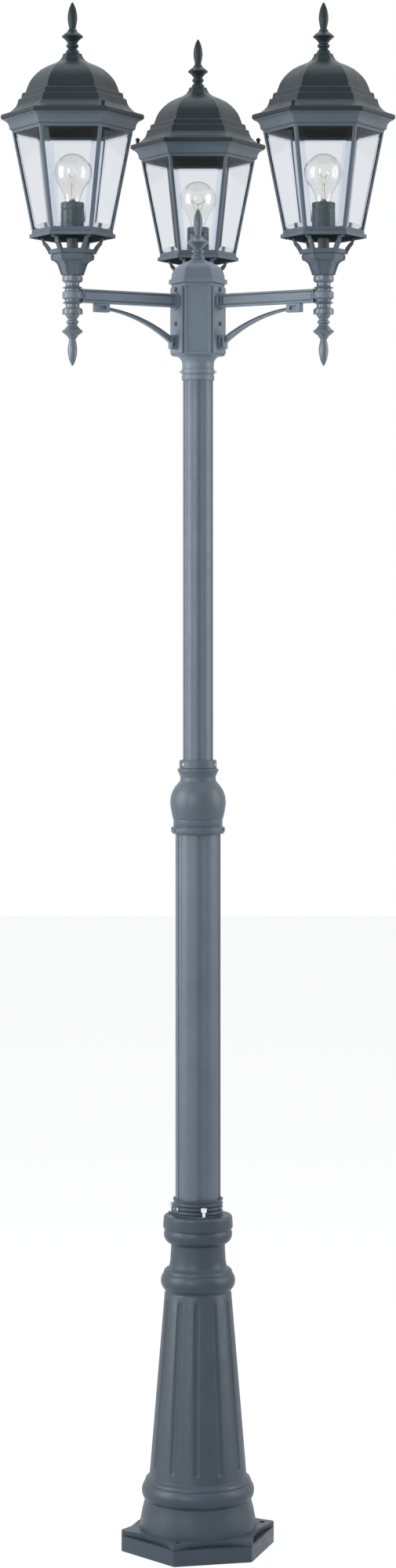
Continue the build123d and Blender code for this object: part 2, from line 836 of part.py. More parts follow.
# the hub's cap is a low six-sided dome
with BuildSketch() as cap_outline:
    with BuildLine():
        dome_z = hub_top + hub_cap_lip_height
        Polyline(
            (0, hub_top),
            (flat(hub_cap_lip_corner), hub_top),
            (flat(hub_cap_lip_corner), dome_z),
            (flat(hub_cap_dome_corner), dome_z + hub_cap_step),
        )
        cap_side = ThreePointArc(
            (flat(hub_cap_dome_corner), dome_z + hub_cap_step),
            (flat(hub_cap_dome_corner) * 0.86, dome_z + hub_cap_rise * 0.43),
            (finial_base_radius + hub_cap_seat_inset, hub_cap_top - hub_cap_seat_drop),
        )
        Polyline(cap_side @ 1, (finial_base_radius, hub_cap_top), (0, hub_cap_top), (0, hub_top))
    make_face()
    mirror(about=Plane.YZ)
cap_solid = hex_solid(cap_outline.sketch, hub_flats)
with BuildSketch() as cap_hollow_outline:
    offset(cap_outline.sketch, amount=-hub_cap_wall, kind=Kind.INTERSECTION)
    with Locations((0, hub_top)):
        Rectangle(2 * flat(hub_cap_dome_corner) - 4 * hub_cap_wall, 2 * hub_cap_lip_height)
cap_hollow = hex_solid(cap_hollow_outline.sketch, hub_flats)
with BuildPart() as hub_cap:
    add(cap_solid, rotation=(0, 0, lantern_corner_turn))
    add(cap_hollow, rotation=(0, 0, lantern_corner_turn), mode=Mode.SUBTRACT)
    with BuildSketch(Plane.XY.offset(hub_top + hub_cap_wall)):
        spigot_flat = hub_apothem - hub_wall - slip_gap
        RegularPolygon(spigot_flat, hex_sides, major_radius=False, rotation=hex_corner_turn)
        offset(amount=-hub_cap_spigot_wall, mode=Mode.SUBTRACT)
    extrude(amount=-hub_cap_wall - hub_cap_spigot)
    with BuildSketch(Plane.XY.offset(hub_cap_top)):
        Circle(cap_stud_radius + fit_gap)
    extrude(amount=-2 * finial_base_radius, mode=Mode.SUBTRACT)
save(hub_cap.part, "hub_cap")

with BuildPart() as cap_stud:
    with BuildSketch(Plane.XY.offset(hub_top - hub_bar_drop)):
        Circle(cap_stud_radius)
    extrude(amount=hub_bar_drop + hub_cap_rise + finial_stud_length)
save(cap_stud.part, "cap_stud")


# ================= finials =================
def turned_finial(stud_length, bore_depth=0.0):
    """The turned finial, base down on the origin, with a stud below it or a bore up into it."""
    with BuildPart() as finial:
        with BuildSketch(Plane.XZ):
            with BuildLine():
                Polyline(
                    (0, 0),
                    (finial_base_radius, 0),
                    (finial_base_radius, finial_base_height - finial_base_round),
                    (finial_base_radius - finial_base_round, finial_base_height),
                    (finial_cone_top_radius, finial_waist_z),
                    (finial_cone_top_radius, finial_ring_z - finial_ring_half_height),
                )
                ring = ThreePointArc(
                    (finial_cone_top_radius, finial_ring_z - finial_ring_half_height),
                    (finial_ring_radius, finial_ring_z),
                    (finial_waist_radius, finial_ring_z + finial_ring_half_height),
                )
                Line(ring @ 1, (finial_waist_radius, finial_flare_z))
                flare = ThreePointArc(
                    (finial_waist_radius, finial_flare_z),
                    (finial_flare_radius, finial_flare_middle_z),
                    (finial_disc_radius - finial_disc_round, finial_disc_z - finial_disc_rim),
                )
                rim = ThreePointArc(
                    flare @ 1,
                    (finial_disc_radius, finial_disc_z),
                    (finial_disc_radius - finial_disc_round, finial_disc_z + finial_disc_rim),
                )
                dish = ThreePointArc(
                    rim @ 1,
                    (finial_dish_radius, finial_dish_z),
                    (finial_collar_radius, finial_collar_z),
                )
                collar_edge_z = finial_collar_z + finial_collar_edge
                Polyline(
                    dish @ 1,
                    (finial_collar_radius, collar_edge_z),
                    (finial_collar_radius, collar_edge_z + finial_collar_height),
                    (finial_flame_root, finial_flame_z),
                )
                flame = Spline(
                    (finial_flame_root, finial_flame_z),
                    (finial_flame_radius, finial_flame_middle_z),
                    (finial_tip_radius, finial_height),
                    tangents=((0.25, 1), (0, 1), (-0.45, 1)),
                )
                Polyline(flame @ 1, (0, finial_height), (0, 0))
            make_face()
        revolve(axis=Axis.Z)
        if stud_length:
            with BuildSketch():
                Circle(finial_stud_radius)
            extrude(amount=-stud_length)
        if bore_depth:
            with BuildSketch():
                Circle(cap_stud_radius + fit_gap)
            extrude(amount=bore_depth, mode=Mode.SUBTRACT)
    return finial.part


save(turned_finial(0, finial_stud_length + fit_gap).translate((0, 0, hub_cap_top)), "hub_finial")
save_each_way(turned_finial(finial_stud_length).translate((0, 0, roof_top)), "roof_finial", arm_reach)
stem_finial = turned_finial(stem_bottom_stud).rotate(Axis.X, 180).translate((0, 0, stem_bottom))
save_each_way(stem_finial, "stem_finial", arm_reach)

# ================= arm =================
web_half_height = arm_bar_height / 2 - arm_lip
with BuildPart() as arm:
    with BuildSketch(radial_plane((arm_plate_z + arm_plate_top) / 2, 0, hub_apothem)):
        Rectangle(arm_plate_top - arm_plate_z, arm_plate_width)
    extrude(amount=arm_plate_thickness)
    chamfer(arm.faces().sort_by(Axis.X)[-1].edges(), arm_plate_edge)
    with BuildSketch(radial_plane(arm_z, 0, bar_inner)):
        Circle(arm_boss_radius)
    extrude(amount=arm_boss_depth)
    with BuildSketch(radial_plane(arm_z, 0, bar_inner)):
        Rectangle(arm_bar_height, arm_bar_width)
        fillet(vertices(), arm_bar_round)
    extrude(amount=arm_reach - bar_inner)
    with BuildSketch(radial_plane(arm_z, 0, bar_inner + arm_boss_depth)):
        with Locations((0, arm_bar_width / 2), (0, -arm_bar_width / 2)):
            Rectangle(2 * web_half_height, 2 * arm_web_recess)
    extrude(amount=arm_reach, mode=Mode.SUBTRACT)
    with BuildSketch(Plane.XY.offset(eye_bottom - arm_bar_height)):
        with Locations((arm_reach, 0)):
            Circle(arm_eye_radius)
    extrude(amount=3 * arm_bar_height, mode=Mode.SUBTRACT)
    with BuildSketch(Plane.XZ):
        Polygon(
            (arm_reach, eye_bottom),
            (arm_reach + arm_eye_radius - arm_eye_chamfer, eye_bottom),
            (arm_reach + arm_eye_radius, eye_bottom + arm_eye_chamfer),
            (arm_reach + arm_eye_radius, eye_top - arm_eye_chamfer),
            (arm_reach + arm_eye_radius - arm_eye_chamfer, eye_top),
            (arm_reach, eye_top),
            align=None,
        )
    revolve(axis=Axis((arm_reach, 0, 0), (0, 0, 1)))
    with BuildSketch(radial_plane(arm_z, 0)):
        Circle(arm_bore_radius)
    extrude(amount=arm_reach + arm_bore_radius, mode=Mode.SUBTRACT)
    with BuildSketch(Plane.XY.offset(arm_z)):
        with Locations((arm_reach, 0)):
            Circle(arm_bore_radius)
    extrude(amount=nipple_z - arm_z, mode=Mode.SUBTRACT)
    with BuildSketch(Plane.XY.offset(nipple_z)):
        with Locations((arm_reach, 0)):
            Circle(nipple_radius + fit_gap)
    extrude(amount=eye_top - nipple_z, mode=Mode.SUBTRACT)
    with BuildSketch(Plane.XY.offset(eye_bottom)):
        with Locations((arm_reach, 0)):
            Circle(finial_stud_radius + fit_gap)
    extrude(amount=eye_floor, mode=Mode.SUBTRACT)
    with BuildSketch(radial_plane(arm_screw_z, 0), radial_plane(arm_screw_z - arm_screw_pitch, 0)):
        Circle(arm_screw_radius + fit_gap)
    extrude(amount=bar_inner, mode=Mode.SUBTRACT)
save_each_way(arm.part, "arm")

# ================= brace =================
brace_clip_inner = arm_reach - brace_clip_setback
brace_top = arm_z - arm_bar_height / 2
clip_middle = brace_top - brace_clip_height * 0.58
foot_z = arm_plate_z + brace_foot_margin
foot_top = foot_z + brace_foot_height
foot_face = bar_inner + brace_foot_depth
root_z = foot_top - brace_root_drop
brace_middle = (foot_face + brace_clip_inner) / 2
brace_crest_z = (root_z + clip_middle) / 2 + brace_rise
with BuildPart() as brace:
    with BuildSketch(Plane.XZ):
        with BuildLine():
            upper = ThreePointArc(
                (foot_face - brace_overlap, root_z),
                (brace_middle, brace_crest_z),
                (brace_clip_inner + brace_overlap, clip_middle + brace_tip_thickness / 2),
            )
            lower = ThreePointArc(
                (foot_face - brace_overlap, root_z - brace_root_thickness),
                (brace_middle + brace_sag_shift, brace_crest_z - brace_root_thickness * 0.72),
                (brace_clip_inner + brace_overlap, clip_middle - brace_tip_thickness / 2),
            )
            Line(upper @ 1, lower @ 1)
            Line(upper @ 0, lower @ 0)
        make_face()
    extrude(amount=brace_width / 2, both=True)
    with BuildSketch(Plane.XZ):
        with Locations((brace_clip_inner, brace_top)):
            Rectangle(brace_clip_length, brace_clip_height, align=(Align.MIN, Align.MAX))
    extrude(amount=brace_clip_width / 2, both=True)
    with BuildSketch(Plane.XZ):
        with Locations((bar_inner, foot_z)):
            Rectangle(brace_foot_depth, brace_foot_height, align=(Align.MIN, Align.MIN))
    extrude(amount=brace_foot_width / 2, both=True)
    for side in (1, -1):
        with BuildSketch(Plane.XZ.offset(side * brace_clip_width / 2)):
            with Locations((brace_clip_inner + brace_clip_length / 2, brace_top - brace_clip_height / 2)):
                Rectangle(
                    brace_clip_length - 2 * brace_window_margin, brace_clip_height - 2 * brace_window_margin
                )
            with Locations((bar_inner + brace_foot_depth / 2, foot_z + brace_foot_height / 2)):
                Rectangle(
                    brace_foot_depth - 2 * brace_window_margin, brace_foot_height - 2 * brace_window_margin
                )
        extrude(amount=-side * brace_window, mode=Mode.SUBTRACT)
save_each_way(brace.part, "brace")

# ================= stem collars and nipple =================
with BuildSketch() as collar_outline:
    with BuildLine():
        ridge_z = eye_top + collar_ridge_height
        ring_z = ridge_z + collar_waist_height
        Polyline(
            (nipple_radius + fit_gap, eye_top),
            (collar_foot_radius, eye_top),
            (collar_foot_radius, eye_top + collar_foot_height),
            (collar_ridge_radius, ridge_z - collar_ridge_slope),
            (collar_ridge_radius, ridge_z - collar_ridge_edge),
            (collar_waist_radius, ridge_z),
            (collar_waist_radius, ring_z),
            (collar_ring_radius - collar_ring_chamfer, ring_z),
            (collar_ring_radius, ring_z + collar_ring_chamfer),
            (collar_ring_radius, stem_top - collar_neck_height),
            (collar_neck_radius, stem_top - collar_neck_height),
            (collar_neck_radius, stem_top),
            (nipple_radius + fit_gap, stem_top),
            close=True,
        )
    make_face()
with BuildPart() as stem_collars:
    with BuildSketch(Plane.XZ):
        add(collar_outline.sketch)
    revolve(axis=Axis.Z)
    mirror(about=Plane.XY.offset(arm_z))
    with BuildSketch(Plane.XY.offset(stem_bottom)):
        Circle(2 * collar_ring_radius)
    extrude(amount=-2 * collar_neck_height, mode=Mode.SUBTRACT)
save_each_way(stem_collars.part, "stem_collars", arm_reach)

# the nipple carries the lantern on the arm and leads the wires up into it
with BuildPart() as lamp_nipple:
    with BuildSketch(Plane.XZ):
        Polygon(
            (nipple_bore_radius, nipple_z),
            (nipple_radius, nipple_z),
            (nipple_radius, cup_floor),
            (nipple_shoulder_radius, cup_floor),
            (nipple_shoulder_radius, tray_z),
            (nipple_radius, tray_z),
            (nipple_radius, nipple_top),
            (nipple_bore_radius, nipple_top),
            align=None,
        )
    revolve(axis=Axis.Z)

# ================= cradle =================
with BuildSketch() as cradle_outline:
    with BuildLine():
        Line((0, cradle_z), (flat(cradle_foot_corner), cradle_z))
        bell = ThreePointArc(
            (flat(cradle_foot_corner), cradle_z),
            (flat(cradle_bell_middle_corner), cradle_z + cradle_bell_height * 0.58),
            (flat(cradle_bell_corner), cradle_band_z),
        )
        Polyline(
            bell @ 1,
            (flat(cradle_band_corner), cradle_rim_z - cradle_edge),
            (flat(cradle_band_corner) - cradle_groove, cradle_rim_z - cradle_edge / 2),
            (flat(cradle_band_corner) - cradle_groove, cradle_rim_z),
            (flat(cradle_rim_corner) - cradle_edge, cradle_rim_z),
            (flat(cradle_rim_corner), cradle_rim_top),
            (0, cradle_rim_top),
            (0, cradle_z),
        )
    make_face()
    mirror(about=Plane.YZ)
cradle_bell = hex_solid(cradle_outline.sketch, tray_corner)
with BuildSketch() as panel_outline:
    add(cradle_outline.sketch)
    with Locations((0, cradle_band_z)):
        Rectangle(2 * tray_corner, cradle_rim_top, align=(Align.CENTER, Align.MIN), mode=Mode.SUBTRACT)
    offset(amount=-cradle_panel_depth)
cradle_panels = hex_solid(panel_outline.sketch, tray_corner)
with BuildPart() as cradle_ribs:
    add(cradle_bell)
    with BuildSketch(Plane.XY.offset(cradle_z)) as rib_bars:
        Circle(flat(cradle_foot_corner) - 2 * cradle_panel_depth)
        with PolarLocations(0, hex_sides // 2, lantern_corner_turn):
            Rectangle(2 * tray_corner, cradle_rib_width)
    extrude(amount=cradle_bell_height, mode=Mode.INTERSECT)
with BuildPart() as cradle:
    add(cradle_bell)
    with BuildSketch(Plane.XY.offset(cradle_z)):
        Circle(tray_corner)
    extrude(amount=cradle_bell_height, mode=Mode.SUBTRACT)
    add(cradle_panels)
    add(cradle_ribs.part)
    with BuildSketch(Plane.XY.offset(cup_floor)):
        RegularPolygon(cradle_cup_corner, hex_sides, rotation=lantern_corner_turn)
    extrude(amount=cradle_cup_depth, mode=Mode.SUBTRACT)
    for turn in range(0, 360, 60):
        with BuildSketch(Plane.XZ.rotated((0, 0, turn + lantern_corner_turn)).offset(-strut_width / 2)):
            with BuildLine():
                outer_edge = ThreePointArc(
                    (cradle_rim_corner - strut_foot_inset, cradle_rim_top - strut_foot_drop),
                    (strut_middle - strut_bow, cradle_rim_top + strut_rise * 0.42),
                    (strut_top_radius, tray_z),
                )
                inner_edge = ThreePointArc(
                    (cradle_rim_corner - strut_thickness, cradle_rim_top - strut_foot_drop),
                    (strut_middle - strut_thickness, cradle_rim_top + strut_rise * 0.55),
                    (strut_top_radius - strut_thickness, tray_z),
                )
                Line(outer_edge @ 0, inner_edge @ 0)
                Line(outer_edge @ 1, inner_edge @ 1)
            make_face()
        extrude(amount=strut_width)
    with BuildSketch(Plane.XY.offset(tray_z)):
        RegularPolygon(tray_corner, hex_sides, rotation=lantern_corner_turn)
    extrude(amount=tray_thickness)
    with BuildSketch(Plane.XY.offset(cradle_z)):
        Circle(nipple_radius + fit_gap)
    extrude(amount=tray_top - cradle_z, mode=Mode.SUBTRACT)
    with BuildSketch(Plane.XY.offset(tray_z)):
        with PolarLocations(tray_screw_circle, hex_sides, lantern_corner_turn):
            Circle(tray_screw_radius + fit_gap)
    extrude(amount=tray_thickness, mode=Mode.SUBTRACT)
save_each_way(cradle.part, "cradle", arm_reach)

# ================= glass cage =================
cage_draft = math.degrees(math.atan((flat(cage_top_corner) - flat(cage_foot_corner)) / cage_height))
cage_slope = (flat(cage_top_corner) - flat(cage_foot_corner)) / cage_height
cage_lean = math.hypot(1, cage_slope)
with BuildSketch() as cornice_outline:
    with BuildLine():
        Polyline(
            (0, cage_top),
            (flat(cage_top_corner) + cornice_foot_width, cage_top),
            (flat(cornice_bead_corner), cage_top + cornice_bead_foot),
        )
        bead = ThreePointArc(
            (flat(cornice_bead_corner), cage_top + cornice_bead_foot),
            (flat(cornice_bead_corner) + cornice_bead_width, cage_top + cornice_bead_middle),
            (flat(cornice_bead_corner) + cornice_neck_width, cage_top + cornice_bead_top),
        )
        cove = ThreePointArc(
            bead @ 1,
            (flat(cornice_bead_corner) + cornice_cove_width, cage_top + cornice_cove_rise),
            (flat(cornice_corner), cornice_top - cornice_edge),
        )
        Polyline(cove @ 1, (flat(cornice_corner), cornice_top), (0, cornice_top), (0, cage_top))
    make_face()
    mirror(about=Plane.YZ)
cornice_solid = hex_solid(cornice_outline.sketch, roof_lip_corner)


def cage_flat_at(height):
    """Flat radius of the cage's outer faces at this height above the tray."""
    return flat(cage_foot_corner) + cage_slope * height


# one side of the cage: x runs across the face, y up its slope, z outwards
side_plane = Plane(
    origin=(cage_flat_at(cage_height / 2), 0, tray_top + cage_height / 2),
    x_dir=(0, 1, 0),
    z_dir=(1 / cage_lean, 0, -cage_slope / cage_lean),
)


def side_outline(margin, bottom, top):
    """A trapezoid on a side of the cage: this far in from its corners, between two heights over the tray."""
    with BuildSketch() as outline:
        Polygon(
            *[
                (
                    side * (cage_flat_at(height) / math.sqrt(3) - margin),
                    (height - cage_height / 2) * cage_lean,
                )
                for side, height in ((-1, bottom), (1, bottom), (1, top), (-1, top))
            ],
            align=None,
        )
    return outline.sketch


pane_margin = post_half_width - pane_lap
pane_bottom = cage_sill - pane_lap
pane_top = cage_height + pane_lap
pane_back = pane_setback + pane_thickness
with BuildPart() as cage:
    with BuildSketch(Plane.XY.offset(tray_top)):
        RegularPolygon(cage_foot_corner, hex_sides, rotation=lantern_corner_turn)
    extrude(amount=cage_height, taper=-cage_draft)
    add(cornice_solid)
    with BuildSketch(Plane.XY.offset(tray_top)):
        RegularPolygon(cage_foot_corner - cage_wall * corner_factor, hex_sides, rotation=lantern_corner_turn)
    extrude(amount=cage_height, taper=-cage_draft, mode=Mode.SUBTRACT)
    with BuildSketch(Plane.XY.offset(cage_top)):
        RegularPolygon(cornice_inner_corner, hex_sides, rotation=lantern_corner_turn)
    extrude(amount=cornice_height, mode=Mode.SUBTRACT)
    for turn in range(0, 360, 60):
        with BuildSketch(radial_plane(0, turn)):
            Polygon(
                *[
                    (tray_top + height, side * (cage_flat_at(height) / math.sqrt(3) - post_half_width))
                    for side, height in zip((-1, 1, 1, -1), (cage_sill, cage_sill, cage_height, cage_height))
                ],
                align=None,
            )
        extrude(amount=roof_lip_corner, mode=Mode.SUBTRACT)
        with BuildSketch(turned(side_plane, turn).offset(fit_gap - pane_setback_edge)):
            add(side_outline(pane_margin - fit_gap, pane_bottom - fit_gap, pane_top + fit_gap))
        extrude(amount=-pane_edge_thickness - 2 * fit_gap, mode=Mode.SUBTRACT)
    with BuildSketch(Plane.XY.offset(tray_top)):
        with PolarLocations(tray_screw_circle, hex_sides, lantern_corner_turn):
            Circle(tray_screw_radius + fit_gap)
    extrude(amount=tray_screw_length - tray_thickness + fit_gap, mode=Mode.SUBTRACT)
    with BuildSketch(Plane.XY.offset(cornice_top)):
        with PolarLocations(thumb_screw_circle, 2, 90):
            Circle(thumb_shank_radius + fit_gap)
    extrude(amount=-thumb_grip - fit_gap, mode=Mode.SUBTRACT)
save_each_way(cage.part, "cage", arm_reach)

with BuildPart() as glass_panes:
    for turn in range(0, 360, 60):
        with BuildSketch(turned(side_plane, turn).offset(-pane_back)):
            add(side_outline(pane_margin, pane_bottom, pane_top))
        extrude(amount=pane_edge_thickness)
        with BuildSketch(turned(side_plane, turn).offset(-pane_setback_edge)):
            add(side_outline(pane_margin + pane_lap, cage_sill, cage_height))
        with BuildSketch(turned(side_plane, turn).offset(-pane_setback)):
            add(side_outline(post_half_width + pane_bevel, cage_sill + pane_bevel, cage_height - pane_bevel))
        loft()
save_each_way(glass_panes.part, "glass_panes", arm_reach)

with BuildPart() as tray_screws:
    with BuildSketch(Plane.XY.offset(tray_z)):
        with PolarLocations(tray_screw_circle, hex_sides, lantern_corner_turn):
            Circle(tray_screw_radius)
    extrude(amount=tray_screw_length)
    with BuildSketch(Plane.XY.offset(tray_z)):
        with PolarLocations(tray_screw_circle, hex_sides, lantern_corner_turn):
            Circle(tray_screw_head_radius)
    extrude(amount=-tray_screw_head_height)
    chamfer(tray_screws.edges().group_by(Axis.Z)[0], tray_screw_edge)

# ================= roof =================
with BuildSketch() as roof_outline:
    with BuildLine():
        eave_z = cornice_top + roof_lip_height
        Polyline(
            (0, cornice_top),
            (flat(roof_lip_corner), cornice_top),
            (flat(roof_lip_corner), eave_z),
            (flat(roof_lip_corner - roof_edge_in), eave_z + roof_edge_rise),
        )
        low_flare = ThreePointArc(
            (flat(roof_lip_corner - roof_edge_in), eave_z + roof_edge_rise),
            (flat(roof_lip_corner - roof_flare_in), eave_z + roof_flare_rise),
            (flat(roof_lip_corner - roof_skirt_in), eave_z + roof_skirt_rise),
        )
        steps = Polyline(
            low_flare @ 1,
            (flat(roof_lip_corner - roof_shelf_in), eave_z + roof_shelf_rise),
            (flat(roof_lip_corner - roof_band_in), eave_z + roof_band_rise),
            (flat(roof_lip_corner - roof_ledge_in), eave_z + roof_ledge_rise),
        )
        dome = ThreePointArc(
            steps @ 1,
            (flat(roof_lip_corner - roof_dome_in), eave_z + roof_dome_rise),
            (flat(roof_crown_corner), eave_z + roof_crown_rise),
        )
        crown = ThreePointArc(
            dome @ 1,
            (flat(roof_peak_corner), eave_z + roof_peak_rise),
            (flat(roof_neck_corner), roof_top),
        )
        Polyline(crown @ 1, (0, roof_top), (0, cornice_top))
    make_face()
    mirror(about=Plane.YZ)
roof_solid = hex_solid(roof_outline.sketch, roof_lip_corner)
roof_opening = cornice_inner_corner - 2 * slip_gap
with BuildSketch() as roof_hollow_outline:
    with BuildLine():
        hollow_low = ThreePointArc(
            (flat(roof_opening - roof_wall), cornice_top + roof_lip_height),
            (
                flat(roof_lip_corner - roof_skirt_in) - 0.6 * roof_wall,
                eave_z + roof_skirt_rise - 3 * roof_wall,
            ),
            (flat(roof_lip_corner - roof_band_in), eave_z + roof_shelf_rise - roof_wall),
        )
        Polyline(
            (0, cornice_top - fit_gap),
            (flat(roof_opening - roof_wall), cornice_top - fit_gap),
            (flat(roof_opening - roof_wall), cornice_top + roof_lip_height),
        )
        hollow_top_z = eave_z + roof_crown_rise - 2 * roof_wall
        hollow_dome = ThreePointArc(
            (flat(roof_lip_corner - roof_ledge_in) - roof_wall, eave_z + roof_ledge_rise - roof_wall),
            (flat(roof_lip_corner - roof_dome_in) - roof_wall, eave_z + roof_dome_rise - roof_wall),
            (flat(roof_hollow_corner), hollow_top_z),
        )
        Line(hollow_low @ 1, hollow_dome @ 0)
        Polyline(hollow_dome @ 1, (0, hollow_top_z), (0, cornice_top - fit_gap))
    make_face()
    mirror(about=Plane.YZ)
roof_hollow = hex_solid(roof_hollow_outline.sketch, roof_lip_corner)
with BuildPart() as roof:
    add(roof_solid)
    with BuildSketch(Plane.XY.offset(cornice_top)):
        RegularPolygon(roof_opening, hex_sides, rotation=lantern_corner_turn)
    extrude(amount=-roof_spigot_depth)
    with BuildSketch(Plane.XY.offset(cornice_top - roof_spigot_depth)):
        RegularPolygon(roof_opening - roof_wall, hex_sides, rotation=lantern_corner_turn)
    extrude(amount=roof_spigot_depth, mode=Mode.SUBTRACT)
    add(roof_hollow, mode=Mode.SUBTRACT)
    with BuildSketch(Plane.XY.offset(roof_top)):
        Circle(finial_stud_radius + fit_gap)
    extrude(amount=-finial_stud_length - fit_gap, mode=Mode.SUBTRACT)
    with BuildSketch(Plane.XY.offset(cornice_top)):
        with PolarLocations(thumb_screw_circle, 2, 90):
            Circle(thumb_shank_radius + fit_gap)
    extrude(amount=thumb_height, mode=Mode.SUBTRACT)
save_each_way(roof.part, "roof", arm_reach)

for label, turn in (("thumb_screw_a", 90), ("thumb_screw_b", -90)):
    with BuildPart() as thumb_screw:
        with BuildSketch(Plane.XY.offset(thumb_z)):
            with PolarLocations(thumb_screw_circle, 1, turn):
                Circle(thumb_shank_radius)
        extrude(amount=thumb_height + thumb_grip)
        with Locations(radial_plane(thumb_z + thumb_height + thumb_grip, turn, thumb_screw_circle).origin):
            Sphere(thumb_ball_radius)
    save_each_way(thumb_screw.part, label, arm_reach)

# ================= lamp =================
with BuildPart() as lampholder:
    with BuildSketch(Plane.XY.offset(tray_top)):
        Circle(lampholder_radius)
    extrude(amount=lampholder_height)
    chamfer(lampholder.edges().group_by(Axis.Z)[-1], lampholder_edge)
    with BuildSketch(Plane.XY.offset(bulb_z - shell_seat)):
        Circle(lampholder_radius - lampholder_wall)
    extrude(amount=lampholder_height, mode=Mode.SUBTRACT)
    with BuildSketch(Plane.XY.offset(nipple_top)):
        Circle(shell_radius - shell_seat)
    extrude(amount=lampholder_height, mode=Mode.SUBTRACT)
    with BuildSketch(Plane.XY.offset(tray_top)):
        Circle(nipple_radius + fit_gap)
    extrude(amount=lampholder_floor, mode=Mode.SUBTRACT)
save_each_way(lampholder.part, "lampholder", arm_reach)

with BuildPart() as screw_shell:
    with BuildSketch(Plane.XY.offset(bulb_z)):
        Circle(shell_radius)
        Circle(shell_radius - shell_wall, mode=Mode.SUBTRACT)
    extrude(amount=shell_height)
    with BuildSketch(Plane.XY.offset(bulb_z)):
        Circle(lampholder_radius - lampholder_wall - fit_gap)
        Circle(nipple_radius, mode=Mode.SUBTRACT)
    extrude(amount=-shell_seat)

with BuildPart() as bulb_cap:
    with BuildSketch(Plane.XZ):
        Polygon(
            (0, bulb_z + bulb_contact_z),
            (bulb_contact_radius, bulb_z + bulb_contact_z),
            (bulb_contact_radius, bulb_z + bulb_contact_z + bulb_contact_height),
            (bulb_insulator_radius, bulb_z + bulb_contact_z + bulb_contact_height),
            (bulb_cap_radius, bulb_z + bulb_thread_z),
            (bulb_cap_radius, bulb_z + bulb_cap_height),
            (0, bulb_z + bulb_cap_height),
            align=None,
        )
    revolve(axis=Axis.Z)
save_each_way(bulb_cap.part, "bulb_cap", arm_reach)

bulb_top = bulb_z + bulb_height
bulb_centre = bulb_top - bulb_radius
bulb_foot = bulb_z + bulb_cap_height
bulb_inner_foot = bulb_foot + 1.5 * bulb_wall
crown_sweep = 90 - bulb_crown_start
with BuildPart() as bulb_glass:
    with BuildSketch(Plane.XZ):
        with BuildLine():
            crown_arc = CenterArc((0, bulb_centre), bulb_radius, bulb_crown_start, crown_sweep)
            shoulder = Spline(
                crown_arc @ 0,
                (bulb_shoulder_radius, bulb_foot + bulb_shoulder_rise),
                (bulb_neck_radius, bulb_foot),
                tangents=(crown_arc % 0 * -1, (0, -1), (0, -1)),
            )
            Polyline(shoulder @ 1, (0, bulb_foot), (0, bulb_top))
        make_face()
    revolve(axis=Axis.Z)
    with BuildSketch(Plane.XZ):
        with BuildLine():
            inner_arc = CenterArc((0, bulb_centre), bulb_radius - bulb_wall, bulb_crown_start, crown_sweep)
            inner_side = Spline(
                inner_arc @ 0,
                (bulb_shoulder_radius - bulb_wall, bulb_foot + bulb_shoulder_rise),
                (bulb_neck_radius - bulb_wall, bulb_inner_foot),
                tangents=(inner_arc % 0 * -1, (0, -1), (0, -1)),
            )
            Polyline(inner_side @ 1, (0, bulb_inner_foot), (0, bulb_top - bulb_wall))
        make_face()
    revolve(axis=Axis.Z, mode=Mode.SUBTRACT)
save_each_way(bulb_glass.part, "bulb_glass", arm_reach)

# ================= shared groups =================
with BuildPart() as set_screw:
    with BuildSketch():
        Circle(set_screw_radius)
    extrude(amount=set_screw_length)
    with BuildSketch(Plane.XY.offset(set_screw_length)):
        RegularPolygon(set_screw_hex, hex_sides)
    extrude(amount=-set_screw_hex_depth, mode=Mode.SUBTRACT)

screw_places = [radial_plane(hub_screw_z, turn, upper_post_radius + fit_gap) for turn in hub_screw_turns]
for turn in screw_turns(set_screw_count):
    screw_places.append(radial_plane(socket_screw_z, turn, lower_post_radius + fit_gap))
    screw_places.append(radial_plane(low_collar_screw_z, turn, lower_post_radius + fit_gap))
    screw_places.append(radial_plane(high_collar_screw_z, turn, upper_post_radius + fit_gap))
with BuildPart() as set_screws:
    with Locations(*screw_places):
        add(set_screw.part)
save(set_screws.part, "set_screws")

with BuildPart() as arm_screw:
    with BuildSketch():
        Circle(arm_screw_radius)
    extrude(amount=-arm_screw_grip)
    with BuildSketch():
        Circle(arm_screw_head_radius)
    extrude(amount=arm_screw_head_height)
    chamfer(arm_screw.edges().group_by(Axis.Z)[-1], arm_screw_edge)
with BuildPart() as arm_screws:
    for turn in lantern_headings.values():
        high_place = radial_plane(arm_screw_z, turn, bar_inner)
        low_place = radial_plane(arm_screw_z - arm_screw_pitch, turn, bar_inner)
        with Locations(high_place, low_place):
            add(arm_screw.part)
save(arm_screws.part, "arm_screws")


def at_each_lantern(part):
    """One node that holds a copy of a piece for each lantern."""
    with BuildPart() as group:
        with PolarLocations(arm_reach, len(lantern_headings), lantern_headings["right"]):
            add(part)
    return group.part


save(at_each_lantern(tray_screws.part), "tray_screws")
save(at_each_lantern(lamp_nipple.part), "lamp_nipples")
save(at_each_lantern(screw_shell.part), "screw_shells")

# ================= wiring =================
with BuildPart() as lamp_lead:
    with BuildLine() as lead_path:
        FilletPolyline(
            (lead_start, 0, arm_z), (arm_reach, 0, arm_z), (arm_reach, 0, lead_top), radius=lead_bend
        )
    with BuildSketch(Plane.YZ.offset(lead_start)):
        with Locations((0, arm_z)):
            Circle(lead_radius)
    sweep()
with BuildPart() as lamp_leads:
    with PolarLocations(0, len(lantern_headings), lantern_headings["right"]):
        add(lamp_lead.part)
save(lamp_leads.part, "lamp_leads")
print(f"lamp lead bend {lead_bend} mm radius, lead {2 * lead_radius} mm thick")

with BuildPart() as supply_cable:
    with BuildSketch(Plane.XY.offset(supply_bottom)):
        Circle(supply_radius)
    extrude(amount=connector_z - supply_bottom)
save(supply_cable.part, "supply_cable")

